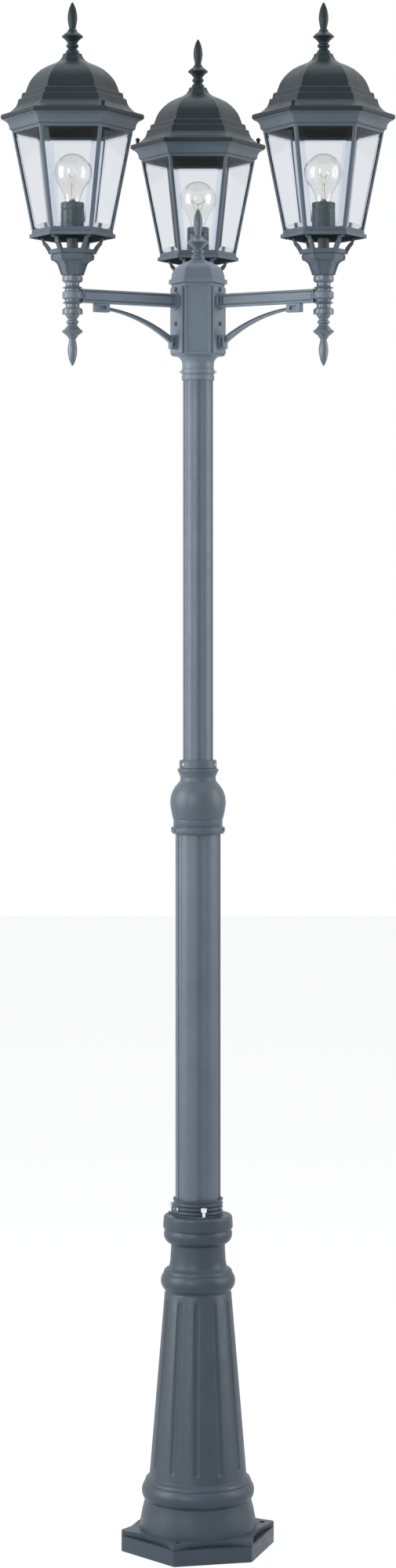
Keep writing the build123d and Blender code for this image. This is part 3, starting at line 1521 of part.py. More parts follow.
with BuildPart() as wire_connectors:
    with BuildSketch(Plane.XY.offset(connector_z)):
        Circle(connector_radius)
    extrude(amount=connector_height, taper=connector_taper)
save(wire_connectors.part, "wire_connectors")
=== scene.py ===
import math

import bmesh
import bpy
from mathutils import Matrix, Vector


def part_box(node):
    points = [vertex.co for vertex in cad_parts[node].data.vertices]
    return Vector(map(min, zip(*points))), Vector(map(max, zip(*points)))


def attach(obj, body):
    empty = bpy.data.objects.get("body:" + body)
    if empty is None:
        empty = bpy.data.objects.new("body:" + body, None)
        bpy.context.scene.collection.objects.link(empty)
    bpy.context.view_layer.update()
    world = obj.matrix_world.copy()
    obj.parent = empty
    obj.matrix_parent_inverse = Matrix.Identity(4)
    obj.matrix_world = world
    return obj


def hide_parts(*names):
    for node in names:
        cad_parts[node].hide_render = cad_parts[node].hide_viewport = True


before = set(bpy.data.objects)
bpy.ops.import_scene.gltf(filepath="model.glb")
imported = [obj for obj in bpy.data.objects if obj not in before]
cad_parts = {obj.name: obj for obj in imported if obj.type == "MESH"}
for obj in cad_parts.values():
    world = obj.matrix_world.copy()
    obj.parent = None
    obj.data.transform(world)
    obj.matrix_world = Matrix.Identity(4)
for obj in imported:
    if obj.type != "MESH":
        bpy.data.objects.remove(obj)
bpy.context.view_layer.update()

bl_info = {
    "name": "Triple head lamp post",
    "version": (1, 0, 0),
    "blender": (4, 5, 0),
    "location": "View3D > Sidebar > Lamp post",
    "description": "Builds the looks of a three-lantern garden lamp post on its measured frame",
    "category": "Object",
}

MM = 0.001
SIDES = ("left", "right", "rear")
ROUND = 96  # steps round a large turned piece
SMALL_ROUND = 40


def node_axis(node):
    """The vertical axis of a round node, as (x, y)."""
    low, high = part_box(node)
    return (low.x + high.x) / 2, (low.y + high.y) / 2


REACH = Vector(node_axis("right_bulb_cap")).length
HEADING = {side: math.atan2(*reversed(node_axis(f"{side}_bulb_cap"))) for side in SIDES}
BASE_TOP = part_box("base_casting")[1].z
COLLAR_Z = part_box("post_coupling")[0].z
HUB_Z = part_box("hub_body")[0].z
HUB_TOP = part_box("hub_body")[1].z
CAP_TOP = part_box("hub_cap")[1].z
CRADLE_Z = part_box("right_cradle")[0].z
TRAY_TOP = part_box("right_cradle")[1].z
CORNICE_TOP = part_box("right_cage")[1].z
ROOF_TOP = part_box("right_roof")[1].z
PLATE_FLATS = 229 * MM
ARM_Z = HUB_TOP - 29.5 * MM  # height of the arms' centre lines


# ---------------- sizes and colours a user may change ----------------
def length(label, note, value):
    """A size in metres."""
    return bpy.props.FloatProperty(name=label, description=note, default=value, min=0.0, unit="LENGTH")


def angle(label, note, degrees):
    """A heading in radians."""
    return bpy.props.FloatProperty(
        name=label, description=note, default=math.radians(degrees), subtype="ANGLE"
    )


def shade(label, note, value):
    """A base colour."""
    return bpy.props.FloatVectorProperty(
        name=label, description=note, default=value, size=3, min=0.0, max=1.0, subtype="COLOR"
    )


class LampPostBaseSizes(bpy.types.PropertyGroup):
    plate_flats: length("Plate width", "Width of the anchor plate across its flats", PLATE_FLATS)
    plate_height: length("Plate height", "Height of the anchor plate", 28 * MM)
    ledge_height: length("Ledge height", "Height of the scalloped ledge on the plate", 7 * MM)
    scallop_depth: length("Scallop depth", "How far each side of the ledge is hollowed", 12 * MM)
    hole_circle: length("Hole circle", "Radius of the circle of anchor holes", 111 * MM)
    hole_radius: length("Hole radius", "Radius of an anchor hole", 4.75 * MM)
    flute_depth: length("Flute depth", "Depth of the flutes in the cone", 2 * MM)
    flute_width: length("Flute width", "Width of the flutes in the cone", 11.5 * MM)
    plate_turn: angle("Plate turn", "Heading of the first corner of the plate", -107.5)
    flute_turn: angle("Flute turn", "Heading of the first flute", -92)
    bolt_turn: angle("Bolt turn", "Heading of the first flange bolt", -78)


class LampPostTubeSizes(bpy.types.PropertyGroup):
    lower_radius: length("Lower post radius", "Outer radius of the lower post", 38.1 * MM)
    lower_groove: length("Lower groove width", "Width of a groove of the lower post", 12 * MM)
    upper_radius: length("Upper post radius", "Outer radius of the upper post", 25.4 * MM)
    upper_groove: length("Upper groove width", "Width of a groove of the upper post", 8.8 * MM)
    groove_depth: length("Groove depth", "Depth of the grooves", 2.4 * MM)
    groove_turn: angle("Groove turn", "Heading of the first groove", -82)


class LampPostHeadSizes(bpy.types.PropertyGroup):
    hub_flats: length("Hub width", "Width of the hub across its flats", 77.8 * MM)
    arm_height: length("Arm height", "Height of the arm's bar", 22 * MM)
    arm_width: length("Arm width", "Width of the arm's bar", 16 * MM)
    web_recess: length("Web recess", "Depth of the line round the hollowed sides of the arm", 3.4 * MM)
    plate_width: length("Arm plate width", "Width of the plate that holds the arm", 40 * MM)
    brace_width: length("Brace width", "Width of the curved brace", 9 * MM)


class LampPostLanternSizes(bpy.types.PropertyGroup):
    lip_corner: length("Roof corner", "Corner radius of the roof's lip", 118.5 * MM)
    cage_foot: length("Cage foot", "Corner radius at the foot of the glass", 66 * MM)
    cage_head: length("Cage head", "Corner radius at the head of the glass", 100.3 * MM)
    glass_height: length("Glass height", "Height of the glazed part", 171.5 * MM)
    bar_half_width: length("Bar half width", "Half the width of a corner bar on each face", 4.7 * MM)
    pane_bevel: length("Pane bevel", "Width of the ground bevel of the panes", 9 * MM)
    tray_corner: length("Tray corner", "Corner radius of the tray", 71.1 * MM)
    bulb_radius: length("Bulb radius", "Radius of the bulb's round", 30 * MM)


class LampPostFinishes(bpy.types.PropertyGroup):
    # The base coat is the slate coat darkened as painted shade, where the light falls off towards the ground.
    base: shade("Base coat", "Powder coat on the base and the post socket", (0.039, 0.058, 0.079))
    # The casting coat is the same slate coat lightened as painted light on the hub and arms.
    casting: shade(
        "Casting coat", "Powder coat on the hub, the arms and the turned pieces", (0.143, 0.187, 0.236)
    )
    lantern: shade(
        "Lantern coat", "Powder coat on the cages, the cradles and the coupling", (0.074, 0.102, 0.130)
    )
    tube: shade("Tube coat", "Powder coat on the posts", (0.098, 0.128, 0.165))
    roof: shade("Roof coat", "Powder coat on the roofs and their finials", (0.014, 0.025, 0.031))
    nipple: shade("Nipple", "Slate coat of the nipples", (0.075, 0.100, 0.115))
    zinc: shade("Zinc screws", "Bright zinc of the bolts and set screws", (0.80, 0.81, 0.82))
    dark_zinc: shade("Dark screws", "Black zinc of the arm and tray screws", (0.10, 0.12, 0.14))
    glass: shade("Glass", "Tint of the panes", (0.874, 0.892, 0.915))
    bulb: shade("Bulb", "Tint of the bulb's glass", (0.992, 0.985, 0.965))
    # The ground bevel's blue-grey tint is painted shade: it stands in for the dimmer look that refraction
    # gives the bevels.
    bevel: shade("Ground bevel", "Tint of the ground bevels of the panes", (0.64, 0.69, 0.78))
    brass: shade("Brass", "Brass of the lamp fittings", (0.72, 0.52, 0.22))
    holder: shade("Lampholder", "Slate cover of the lampholder", (0.065, 0.100, 0.115))
    insulation: shade("Wire insulation", "Covering of the wires", (0.015, 0.015, 0.016))
    connector: shade("Connector", "Moulded wire connectors", (0.62, 0.25, 0.03))
    floor: shade("Floor", "Colour of the studio floor", (0.62, 0.62, 0.62))


# ---------------- materials ----------------
def nodes_of(name):
    """An empty material with its Principled shader, and a helper that adds a node to it."""
    material = bpy.data.materials.new(name)
    material.use_nodes = True
    tree = material.node_tree
    tree.nodes.clear()
    output = tree.nodes.new("ShaderNodeOutputMaterial")
    shader = tree.nodes.new("ShaderNodeBsdfPrincipled")
    tree.links.new(shader.outputs["BSDF"], output.inputs["Surface"])
    return material, tree, shader


def noise(tree, scale, detail=3.0, roughness=0.55, stretch=None):
    """Noise on the piece's own coordinates. Returns its value."""
    place = tree.nodes.new("ShaderNodeTexCoord")
    grain = tree.nodes.new("ShaderNodeTexNoise")
    grain.inputs["Scale"].default_value = scale
    grain.inputs["Detail"].default_value = detail
    grain.inputs["Roughness"].default_value = roughness
    source = place.outputs["Object"]
    if stretch:
        mapping = tree.nodes.new("ShaderNodeMapping")
        mapping.inputs["Scale"].default_value = stretch
        tree.links.new(source, mapping.inputs["Vector"])
        source = mapping.outputs["Vector"]
    tree.links.new(source, grain.inputs["Vector"])
    return grain.outputs["Fac"]


def spread(tree, value, low, high, start=0.3, end=0.7):
    """Maps a value onto a range."""
    ramp = tree.nodes.new("ShaderNodeMapRange")
    ramp.inputs["From Min"].default_value = start
    ramp.inputs["From Max"].default_value = end
    ramp.inputs["To Min"].default_value = low
    ramp.inputs["To Max"].default_value = high
    tree.links.new(value, ramp.inputs["Value"])
    return ramp.outputs["Result"]


def blend_colours(tree, value, dark, light):
    """A colour between two, by a value."""
    mix = tree.nodes.new("ShaderNodeMix")
    mix.data_type = "RGBA"
    mix.inputs["A"].default_value = (*dark, 1.0)
    mix.inputs["B"].default_value = (*light, 1.0)
    tree.links.new(value, mix.inputs["Factor"])
    return mix.outputs["Result"]


def relief(tree, shader, value, strength, distance):
    """A bump from a value."""
    bump = tree.nodes.new("ShaderNodeBump")
    bump.inputs["Strength"].default_value = strength
    bump.inputs["Distance"].default_value = distance
    tree.links.new(value, bump.inputs["Height"])
    tree.links.new(bump.outputs["Normal"], shader.inputs["Normal"])


def tint(colour, factor):
    """The colour made lighter or darker."""
    return tuple(min(1.0, channel * factor) for channel in colour)


def powder_coat(name, colour, gloss, grain, shine=0.5):
    """Textured powder coat: fine orange peel, faint mottling, and chalking on upper surfaces."""
    material, tree, shader = nodes_of(name)
    mottle = spread(tree, noise(tree, 14.0, 4.0), 0.0, 1.0)
    speckle = spread(tree, noise(tree, 1400.0, 2.0), 0.0, 1.0, 0.35, 0.65)
    mix = tree.nodes.new("ShaderNodeMath")
    mix.operation = "MULTIPLY_ADD"
    mix.inputs[1].default_value = 0.35
    tree.links.new(speckle, mix.inputs[0])
    low = spread(tree, mottle, 0.0, 0.65, 0.0, 1.0)
    tree.links.new(low, mix.inputs[2])
    colour_out = blend_colours(tree, mix.outputs["Value"], tint(colour, 0.84), tint(colour, 1.18))
    facing = tree.nodes.new("ShaderNodeNewGeometry")
    split = tree.nodes.new("ShaderNodeSeparateXYZ")
    tree.links.new(facing.outputs["Normal"], split.inputs["Vector"])
    dust = spread(tree, split.outputs["Z"], 0.0, 0.30, 0.35, 1.0)
    chalk = tree.nodes.new("ShaderNodeMix")
    chalk.data_type = "RGBA"
    chalk.inputs["B"].default_value = (*tint(colour, 2.2), 1.0)
    tree.links.new(dust, chalk.inputs["Factor"])
    tree.links.new(colour_out, chalk.inputs["A"])
    tree.links.new(chalk.outputs["Result"], shader.inputs["Base Color"])
    satin = spread(tree, noise(tree, 60.0, 3.0), gloss - 0.05, gloss + 0.07)
    tree.links.new(satin, shader.inputs["Roughness"])
    relief(tree, shader, noise(tree, grain, 2.0), 0.35, 0.00012)
    shader.inputs["Specular IOR Level"].default_value = shine
    return material


def metal(name, colour, gloss, scale=300.0, stretch=None):
    """Plated or bare metal with fine wear."""
    material, tree, shader = nodes_of(name)
    wear = spread(tree, noise(tree, scale, 3.0, stretch=stretch), 0.0, 1.0)
    worn = blend_colours(tree, wear, tint(colour, 0.82), tint(colour, 1.08))
    tree.links.new(worn, shader.inputs["Base Color"])
    tree.links.new(spread(tree, wear, gloss - 0.06, gloss + 0.08, 0.0, 1.0), shader.inputs["Roughness"])
    relief(tree, shader, noise(tree, scale * 4, 2.0, stretch=stretch), 0.2, 0.00003)
    shader.inputs["Metallic"].default_value = 1.0
    return material


def moulding(name, colour, gloss):
    """Moulded plastic or rubber with a fine mould grain."""
    material, tree, shader = nodes_of(name)
    patch = spread(tree, noise(tree, 80.0), 0.0, 1.0)
    mottled = blend_colours(tree, patch, tint(colour, 0.8), tint(colour, 1.25))
    tree.links.new(mottled, shader.inputs["Base Color"])
    tree.links.new(spread(tree, noise(tree, 200.0), gloss - 0.05, gloss + 0.08), shader.inputs["Roughness"])
    relief(tree, shader, noise(tree, 2600.0, 2.0), 0.25, 0.00004)
    return material


def clear_glass(name, colour, ior, gloss=0.0):
    """Clear glass, with a faint tint and slow waviness."""
    material, tree, shader = nodes_of(name)
    drift = spread(tree, noise(tree, 9.0), 0.0, 1.0)
    tree.links.new(blend_colours(tree, drift, tint(colour, 0.985), colour), shader.inputs["Base Color"])
    tree.links.new(spread(tree, noise(tree, 25.0), gloss, gloss + 0.02), shader.inputs["Roughness"])
    relief(tree, shader, noise(tree, 22.0, 1.0), 0.06, 0.0006)
    shader.inputs["Transmission Weight"].default_value = 1.0
    shader.inputs["IOR"].default_value = ior
    return material


def finish_of(kind):
    """The material of one finish, made on first use."""
    name = f"{kind}_finish"
    if name in bpy.data.materials:
        return bpy.data.materials[name]
    colours = bpy.context.scene.lamp_post_finishes
    # Base: the slate coat darkened as painted shade.
    if kind == "base":
        return powder_coat(name, colours.base, 0.42, 1300.0, 0.42)
    # Casting: the slate coat lightened as painted light.
    if kind == "casting":
        return powder_coat(name, colours.casting, 0.42, 1500.0)
    if kind == "turned":
        return powder_coat(name, tint(colours.casting, 0.72), 0.29, 1500.0, 0.7)
    if kind == "lantern":
        return powder_coat(name, colours.lantern, 0.42, 1500.0)
    if kind == "tube":
        return powder_coat(name, colours.tube, 0.40, 1700.0)
    # The inside finish is the roof coat darkened as painted shade, with little sheen, for undersides and
    # inward faces.
    if kind == "inside":
        return powder_coat(name, tint(colours.roof, 0.55), 0.85, 1500.0, 0.04)
    if kind == "roof":
        return powder_coat(name, colours.roof, 0.38, 1500.0, 0.26)
    if kind == "nipple":
        return moulding(name, colours.nipple, 0.42)
    if kind == "zinc":
        return metal(name, colours.zinc, 0.24, 500.0)
    if kind == "dark_zinc":
        return metal(name, colours.dark_zinc, 0.38)
    if kind == "glass":
        return clear_glass(name, colours.glass, 1.22)
    # The bevel glass is tinted blue-grey as painted shade of the bevels' refraction.
    if kind == "bevel":
        return clear_glass(name, colours.bevel, 1.32, 0.10)
    if kind == "bulb":
        return clear_glass(name, colours.bulb, 1.47)
    if kind == "brass":
        return metal(name, colours.brass, 0.28, 400.0)
    if kind == "filament":
        return metal(name, tint(colours.brass, 0.9), 0.35, 900.0)
    if kind == "holder":
        return moulding(name, colours.holder, 0.4)
    if kind == "insulation":
        return moulding(name, colours.insulation, 0.5)
    if kind == "connector":
        return moulding(name, colours.connector, 0.35)
    raise ValueError(f"no finish named {kind}")


# ---------------- mesh helpers ----------------
def through(start, middle, end, count=10):
    """Points of the arc from start to end through the middle point, without the start."""
    ax, az = start
    bx, bz = middle
    cx, cz = end
    turn = 2 * (ax * (bz - cz) + bx * (cz - az) + cx * (az - bz))
    if abs(turn) < 1e-9:
        return [end]
    a2, b2, c2 = ax * ax + az * az, bx * bx + bz * bz, cx * cx + cz * cz
    ox = (a2 * (bz - cz) + b2 * (cz - az) + c2 * (az - bz)) / turn
    oz = (a2 * (cx - bx) + b2 * (ax - cx) + c2 * (bx - ax)) / turn
    first, mid, last = (math.atan2(z - oz, x - ox) for x, z in (start, middle, end))
    sweep = (last - first) % math.tau
    if (mid - first) % math.tau > sweep:
        sweep -= math.tau
    radius = math.hypot(ax - ox, az - oz)
    return [
        (ox + radius * math.cos(first + sweep * k / count), oz + radius * math.sin(first + sweep * k / count))
        for k in range(1, count + 1)
    ]


def outline(steps, lift=0.0):
    """A line in metres from steps in millimetres.

    A step is a point, (radius, height), or an arc, (radius, height, radius on the way, height on the way).
    """
    points = []
    for step in steps:
        if len(step) == 2:
            points.append(step)
        else:
            points += through(points[-1], step[2:], step[:2])
    return [(x * MM, z * MM + lift) for x, z in points]


def spun(line, steps=SMALL_ROUND, start=0.0, closed=False):
    """A turned piece from its line of radius against height.

    Six steps make a six-sided one from its corner line.
    """
    bm = bmesh.new()
    across, along = math.cos(start), math.sin(start)
    row = [bm.verts.new((r * across, r * along, z)) for r, z in line]
    for a, b in zip(row, row[1:] + row[:1] if closed else row[1:]):
        bm.edges.new((a, b))
    bmesh.ops.spin(
        bm, geom=bm.verts[:] + bm.edges[:], cent=(0, 0, 0), axis=(0, 0, 1), dvec=(0, 0, 0), angle=math.tau,
        steps=steps, use_merge=True, use_normal_flip=False, use_duplicate=False,
    )
    bmesh.ops.remove_doubles(bm, verts=bm.verts[:], dist=1e-6)
    bmesh.ops.recalc_face_normals(bm, faces=bm.faces[:])
    return bm


def prism(corners, bottom, top):
    """A flat outline in plan, raised from one height to another."""
    bm = bmesh.new()
    face = bm.faces.new([bm.verts.new((x, y, bottom)) for x, y in corners])
    raised = bmesh.ops.extrude_face_region(bm, geom=[face])
    moved = [v for v in raised["geom"] if isinstance(v, bmesh.types.BMVert)]
    bmesh.ops.translate(bm, verts=moved, vec=(0, 0, top - bottom))
    bmesh.ops.recalc_face_normals(bm, faces=bm.faces[:])
    return bm


def slab(corners, width):
    """An outline in the plane of an arm, (out, up), thickened across it."""
    bm = prism(corners, -width / 2, width / 2)
    bmesh.ops.transform(bm, matrix=Matrix.Rotation(math.pi / 2, 4, "X"), verts=bm.verts[:])
    return bm


def block(low, high):
    """A block between two corners."""
    bm = bmesh.new()
    bmesh.ops.create_cube(bm, size=1.0)
    low, high = Vector(low), Vector(high)
    bmesh.ops.scale(bm, vec=high - low, verts=bm.verts[:])
    bmesh.ops.translate(bm, vec=(low + high) / 2, verts=bm.verts[:])
    return bm


def rod(start, end, radius, segments=16):
    """A round rod between two points."""
    bm = bmesh.new()
    start, end = Vector(start), Vector(end)
    run = end - start
    turn = run.to_track_quat("Z", "Y").to_matrix().to_4x4()
    bmesh.ops.create_cone(
        bm, cap_ends=True, segments=segments, radius1=radius, radius2=radius, depth=run.length,
        matrix=Matrix.Translation((start + end) / 2) @ turn,
    )
    return bm


def sunk(bm, chosen, margin, depth, rise=0.0):
    """Hollows each chosen face, this far in from its edges.

    With a rise, its middle comes back up out of a groove.
    """
    bmesh.ops.inset_individual(bm, faces=chosen, thickness=margin, depth=0.0, use_even_offset=True)
    bmesh.ops.inset_individual(bm, faces=chosen, thickness=0.1 * depth, depth=-depth, use_even_offset=True)
    if rise:
        bmesh.ops.inset_individual(bm, faces=chosen, thickness=0.9 * MM, depth=0.0, use_even_offset=True)
        bmesh.ops.inset_individual(bm, faces=chosen, thickness=0.2 * MM, depth=rise, use_even_offset=True)


def facing(bm, direction, least=0.98):
    """Faces that look this way."""
    bm.normal_update()
    way = Vector(direction).normalized()
    return [f for f in bm.faces if f.normal.dot(way) > least]


def paint_shade_inside(bm):
    """Gives the flat undersides and the faces that look inwards the inside finish, a darker and duller copy
    of the coat painted as shade.
    """
    bm.normal_update()
    for face in bm.faces:
        inward = face.normal.xy.dot(face.calc_center_median().xy) < 0
        if face.normal.z < -0.97 or inward and abs(face.normal.z) < 0.9:
            face.material_index = 1


def joined(*parts):
    """One mesh of several."""
    whole = bmesh.new()
    for part in parts:
        mesh = bpy.data.meshes.new("part")
        part.to_mesh(mesh)
        part.free()
        whole.from_mesh(mesh)
        bpy.data.meshes.remove(mesh)
    return whole


def around(bm, headings):
    """Copies of a mesh at each heading about the axis, as one mesh."""
    mesh = bpy.data.meshes.new("part")
    bm.to_mesh(mesh)
    bm.free()
    whole = bmesh.new()
    for heading in headings:
        copy = mesh.copy()
        copy.transform(Matrix.Rotation(heading, 4, "Z"))
        whole.from_mesh(copy)
        bpy.data.meshes.remove(copy)
    bpy.data.meshes.remove(mesh)
    return whole


def carved(bm, cutter):
    """The mesh with the cutter's shape taken out of it."""
    pair = []
    for part in (bm, cutter):
        mesh = bpy.data.meshes.new("part")
        part.to_mesh(mesh)
        part.free()
        pair.append(bpy.data.objects.new("part", mesh))
        bpy.context.scene.collection.objects.link(pair[-1])
    cut = pair[0].modifiers.new("cut", "BOOLEAN")
    cut.operation = "DIFFERENCE"
    cut.solver = "EXACT"
    cut.object = pair[1]
    depsgraph = bpy.context.evaluated_depsgraph_get()
    mesh = bpy.data.meshes.new_from_object(pair[0].evaluated_get(depsgraph))
    result = bmesh.new()
    result.from_mesh(mesh)
    for part in pair:
        old = part.data
        bpy.data.objects.remove(part)
        bpy.data.meshes.remove(old)
    bpy.data.meshes.remove(mesh)
    return result


def finished(mesh, name, kind, body, nodes=(), edge=0.0, crease=35.0):
    """Makes a finished piece from a mesh.

    It gets its shading, softened edges, material and body; the nodes that it stands for are hidden.
    """
    mesh.name = name
    mesh.shade_smooth()
    mesh.set_sharp_from_angle(angle=math.radians(crease))
    piece = bpy.data.objects.new(name, mesh)
    bpy.context.scene.collection.objects.link(piece)
    mesh.materials.append(finish_of(kind))
    # A second material for the faces marked 1: the painted-shade inside finish, or for glass the painted
    # bevel tint.
    if any(face.material_index for face in mesh.polygons):
        mesh.materials.append(finish_of("bevel" if kind == "glass" else "inside"))
    if edge:
        soften = piece.modifiers.new("soft edges", "BEVEL")
        soften.width = edge
        soften.segments = 2
        soften.limit_method = "ANGLE"
        soften.angle_limit = math.radians(crease)
        soften.harden_normals = True
    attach(piece, body)
    if nodes:
        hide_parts(*nodes)
    return piece


def on_pole(bm, name, kind, nodes=(), edge=0.0, crease=35.0):
    """A piece of the pole, already in place."""
    mesh = bpy.data.meshes.new(name)
    bm.to_mesh(mesh)
    bm.free()
    return finished(mesh, name, kind, "pole", nodes, edge, crease)


def each_way(bm, name, kind, nodes=(), edge=0.0, crease=35.0, reach=None, body="pole"):
    """One piece for each lantern or arm, from a mesh with its arm along +X.

    reach moves it out along the arm.
    """
    mesh = bpy.data.meshes.new(name)
    bm.to_mesh(mesh)
    bm.free()
    out = Matrix.Translation((REACH if reach is None else reach, 0, 0))
    for side in SIDES:
        copy = mesh.copy()
        copy.transform(Matrix.Rotation(HEADING[side], 4, "Z") @ out)
        replaced = [f"{side}_{node}" for node in nodes]
        finished(copy, f"{side}_{name}", kind, body.format(side=side), replaced, edge, crease)
    bpy.data.meshes.remove(mesh)


def plain(node, kind):
    """A better material on a node that keeps its shape."""
    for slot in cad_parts[node].material_slots:
        slot.material = finish_of(kind)
    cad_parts[node].data.shade_smooth()
    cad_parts[node].data.set_sharp_from_angle(angle=math.radians(30))


def ring_points(radius, count, start=0.0, sweep=math.tau):
    """Points round a circle."""
    return [
        (radius * math.cos(start + sweep * k / count), radius * math.sin(start + sweep * k / count))
        for k in range(count)
    ]


CORNER = math.radians(30)  # a lantern's corners, with its arm along +X
SIXTHS = [math.radians(60 * k) for k in range(6)]
CORNERS = [CORNER + turn for turn in SIXTHS]


# ---------------- piece groups ----------------
class LAMPPOST_OT_base(bpy.types.Operator):
    """Anchor plate, scalloped ledge and the fluted base casting"""

    bl_idname = "lamp_post.base"
    bl_label = "Base casting"

    def execute(self, context):
        size = context.scene.lamp_post_base
        corner = size.plate_flats / 2 / math.cos(math.pi / 6)
        round_corner = 6 * MM
        reach = corner - round_corner / math.cos(math.pi / 6)
        hexagon = []
        for turn in SIXTHS:
            heading = size.plate_turn + turn
            centre = Vector((reach * math.cos(heading), reach * math.sin(heading)))
            for k in range(7):
                spot = heading - math.pi / 6 + math.pi / 3 * k / 6
                hexagon.append(tuple(centre + round_corner * Vector((math.cos(spot), math.sin(spot)))))
        plate = prism(hexagon, 0.0, size.plate_height)
        half_side = size.plate_flats / 2 * math.tan(math.pi / 6) - 6 * MM
        scallop = (half_side**2 + size.scallop_depth**2) / (2 * size.scallop_depth)
        ledge_top = size.plate_height + size.ledge_height
        ledge = prism(hexagon, size.plate_height - 2 * MM, ledge_top)
        gouge = rod((0, 0, size.plate_height), (0, 0, size.plate_height + 40 * MM), scallop, 160)
        distance = size.plate_flats / 2 + scallop - size.scallop_depth
        bmesh.ops.translate(gouge, verts=gouge.verts[:], vec=(distance, 0, 0))
        for turn in SIXTHS:
            one = gouge.copy()
            heading = size.plate_turn + math.pi / 6 + turn
            bmesh.ops.transform(one, matrix=Matrix.Rotation(heading, 4, "Z"), verts=one.verts[:])
            ledge = carved(ledge, one)
        gouge.free()
        hole_foot = (size.hole_circle, 0, -10 * MM)
        hole_head = (size.hole_circle, 0, ledge_top + 20 * MM)
        hole = rod(hole_foot, hole_head, size.hole_radius, 32)
        holes = around(hole, [size.plate_turn + math.radians(120 * k) for k in range(3)])
        hollow = rod((0, 0, -1 * MM), (0, 0, size.plate_height - 8 * MM), 83 * MM, 96)
        plate = carved(carved(plate, holes.copy()), hollow)
        ledge = carved(ledge, holes)
        on_pole(plate, "anchor_plate", "base", ["base_casting"], 1.4 * MM)
        on_pole(ledge, "scalloped_ledge", "base", ["base_casting"], 0.9 * MM)
        line = outline((
            (83, 27), (98.5, 27), (98.5, 35), (97.2, 47), (93.6, 66), (89.4, 81.5), (89.4, 82.6),
            (89.9, 110.4, 94.7, 97.5), (88.9, 111.4), (89.3, 112.6), (84.0, 119.6, 87.6, 116.8), (82.6, 121),
            (81.6, 124.5), (56.3, 429), (55.0, 431.5), (55.6, 434), (58.6, 461.6, 62.7, 449.5), (57.6, 462.6),
            (57.9, 463.8), (51.2, 470.8, 55.4, 468.4), (48.6, 473.5), (46.4, 490, 47.1, 481), (45.3, 509),
            (45.7, 511.5), (55.2, 536.2, 57.4, 525), (55.4, 537.2), (58.4, 538.2), (58.8, 542), (57.9, 554.5),
            (52.9, 560, 56.4, 558.6), (33.3, 560), (33.3, 546), (39.3, 546),
            (39.3, 510.5), (42.6, 473.5), (50, 431), (75.6, 124.5), (83, 82),
        ))
        column = spun(line, ROUND, closed=True)
        wide, narrow = 81.6, 56  # radii of the cone at its foot and head, in millimetres
        cone_foot, cone_head = 124.5, 431
        run, rise = (wide - narrow) * MM, (cone_head - cone_foot) * MM
        gouge_radius = (size.flute_width**2 / 4 + size.flute_depth**2) / (2 * size.flute_depth)
        straight = rise - 20 * MM - size.flute_width
        nose = gouge_radius / MM
        capsule = outline(((0, 0), (nose, nose, nose * 0.707, nose * 0.293)))
        capsule += [(r, 2 * gouge_radius + straight - z) for r, z in reversed(capsule)]
        flute = spun(capsule, 32)
        lift = -gouge_radius - straight / 2
        axis = (wide + narrow) / 2 * MM + gouge_radius - size.flute_depth
        lean = Matrix.Rotation(-math.atan2(run, rise), 4, "Y")
        middle = (cone_foot + cone_head) / 2 * MM
        place = Matrix.Translation((axis, 0, middle)) @ lean @ Matrix.Translation((0, 0, lift))
        bmesh.ops.transform(flute, matrix=place, verts=flute.verts[:])
        column = carved(column, around(flute, [size.flute_turn + math.radians(30 * k) for k in range(12)]))
        on_pole(column, "fluted_column", "base", ["base_casting"], 0.5 * MM, 28)
        return {"FINISHED"}


class LAMPPOST_OT_socket(bpy.types.Operator):
    """Three-cornered flange, ridged socket ring and its standing bolts"""

    bl_idname = "lamp_post.socket"
    bl_label = "Post socket"

    def execute(self, context):
        turn = context.scene.lamp_post_base.bolt_turn
        thirds = [turn + math.radians(120 * k) for k in range(3)]
        lobe_circle, lobe_radius, waist = 46.5 * MM, 5.5 * MM, 41 * MM
        lobes = []
        for heading in thirds:
            centre = Vector((lobe_circle * math.cos(heading), lobe_circle * math.sin(heading)))
            for k in range(9):
                spot = heading - math.radians(60) + math.radians(120) * k / 8
                lobes.append(tuple(centre + lobe_radius * Vector((math.cos(spot), math.sin(spot)))))
            for between in (52, 60, 68):
                spot = heading + math.radians(between)
                lobes.append((waist * math.cos(spot), waist * math.sin(spot)))
        flange = prism(lobes, BASE_TOP, BASE_TOP + 3 * MM)
        on_pole(flange, "socket_flange", "base", ["post_socket"], 0.6 * MM)
        line = outline((
            (38.4, 2.5), (40, 2.5), (39.9, 9.0, 42.2, 5.7), (39.9, 9.6), (39.9, 15.8, 42.2, 12.7),
            (39.9, 16.4), (40.2, 22.4, 42, 19.4), (40.4, 23.4), (42.1, 26), (42.3, 27.2), (41.7, 28),
            (38.6, 28),
        ), BASE_TOP)
        ring = spun(line, ROUND, closed=True)
        on_pole(ring, "socket_ring", "base", ["post_socket"], 0.3 * MM)
        knurl = [(5 * MM if k % 2 else 4.72 * MM) for k in range(48)]
        head = prism(
            [(r * math.cos(math.tau * k / 48), r * math.sin(math.tau * k / 48)) for k, r in enumerate(knurl)],
            11 * MM, 18 * MM,
        )
        top = facing(head, (0, 0, 1))
        bmesh.ops.inset_region(head, faces=top, thickness=0.5 * MM, depth=0.0, use_even_offset=True)
        key = prism(ring_points(2.4 * MM, 6), 14.5 * MM, 19 * MM)
        head = carved(head, key)
        shank = spun(outline(((0, 0), (2.75, 0), (2.75, 11.2), (0, 11.2))), 24)
        bolt = joined(head, shank)
        bmesh.ops.translate(bolt, verts=bolt.verts[:], vec=(47 * MM, 0, BASE_TOP))
        on_pole(around(bolt, thirds), "standing_bolts", "zinc", ["flange_bolts"], 0.25 * MM)
        return {"FINISHED"}


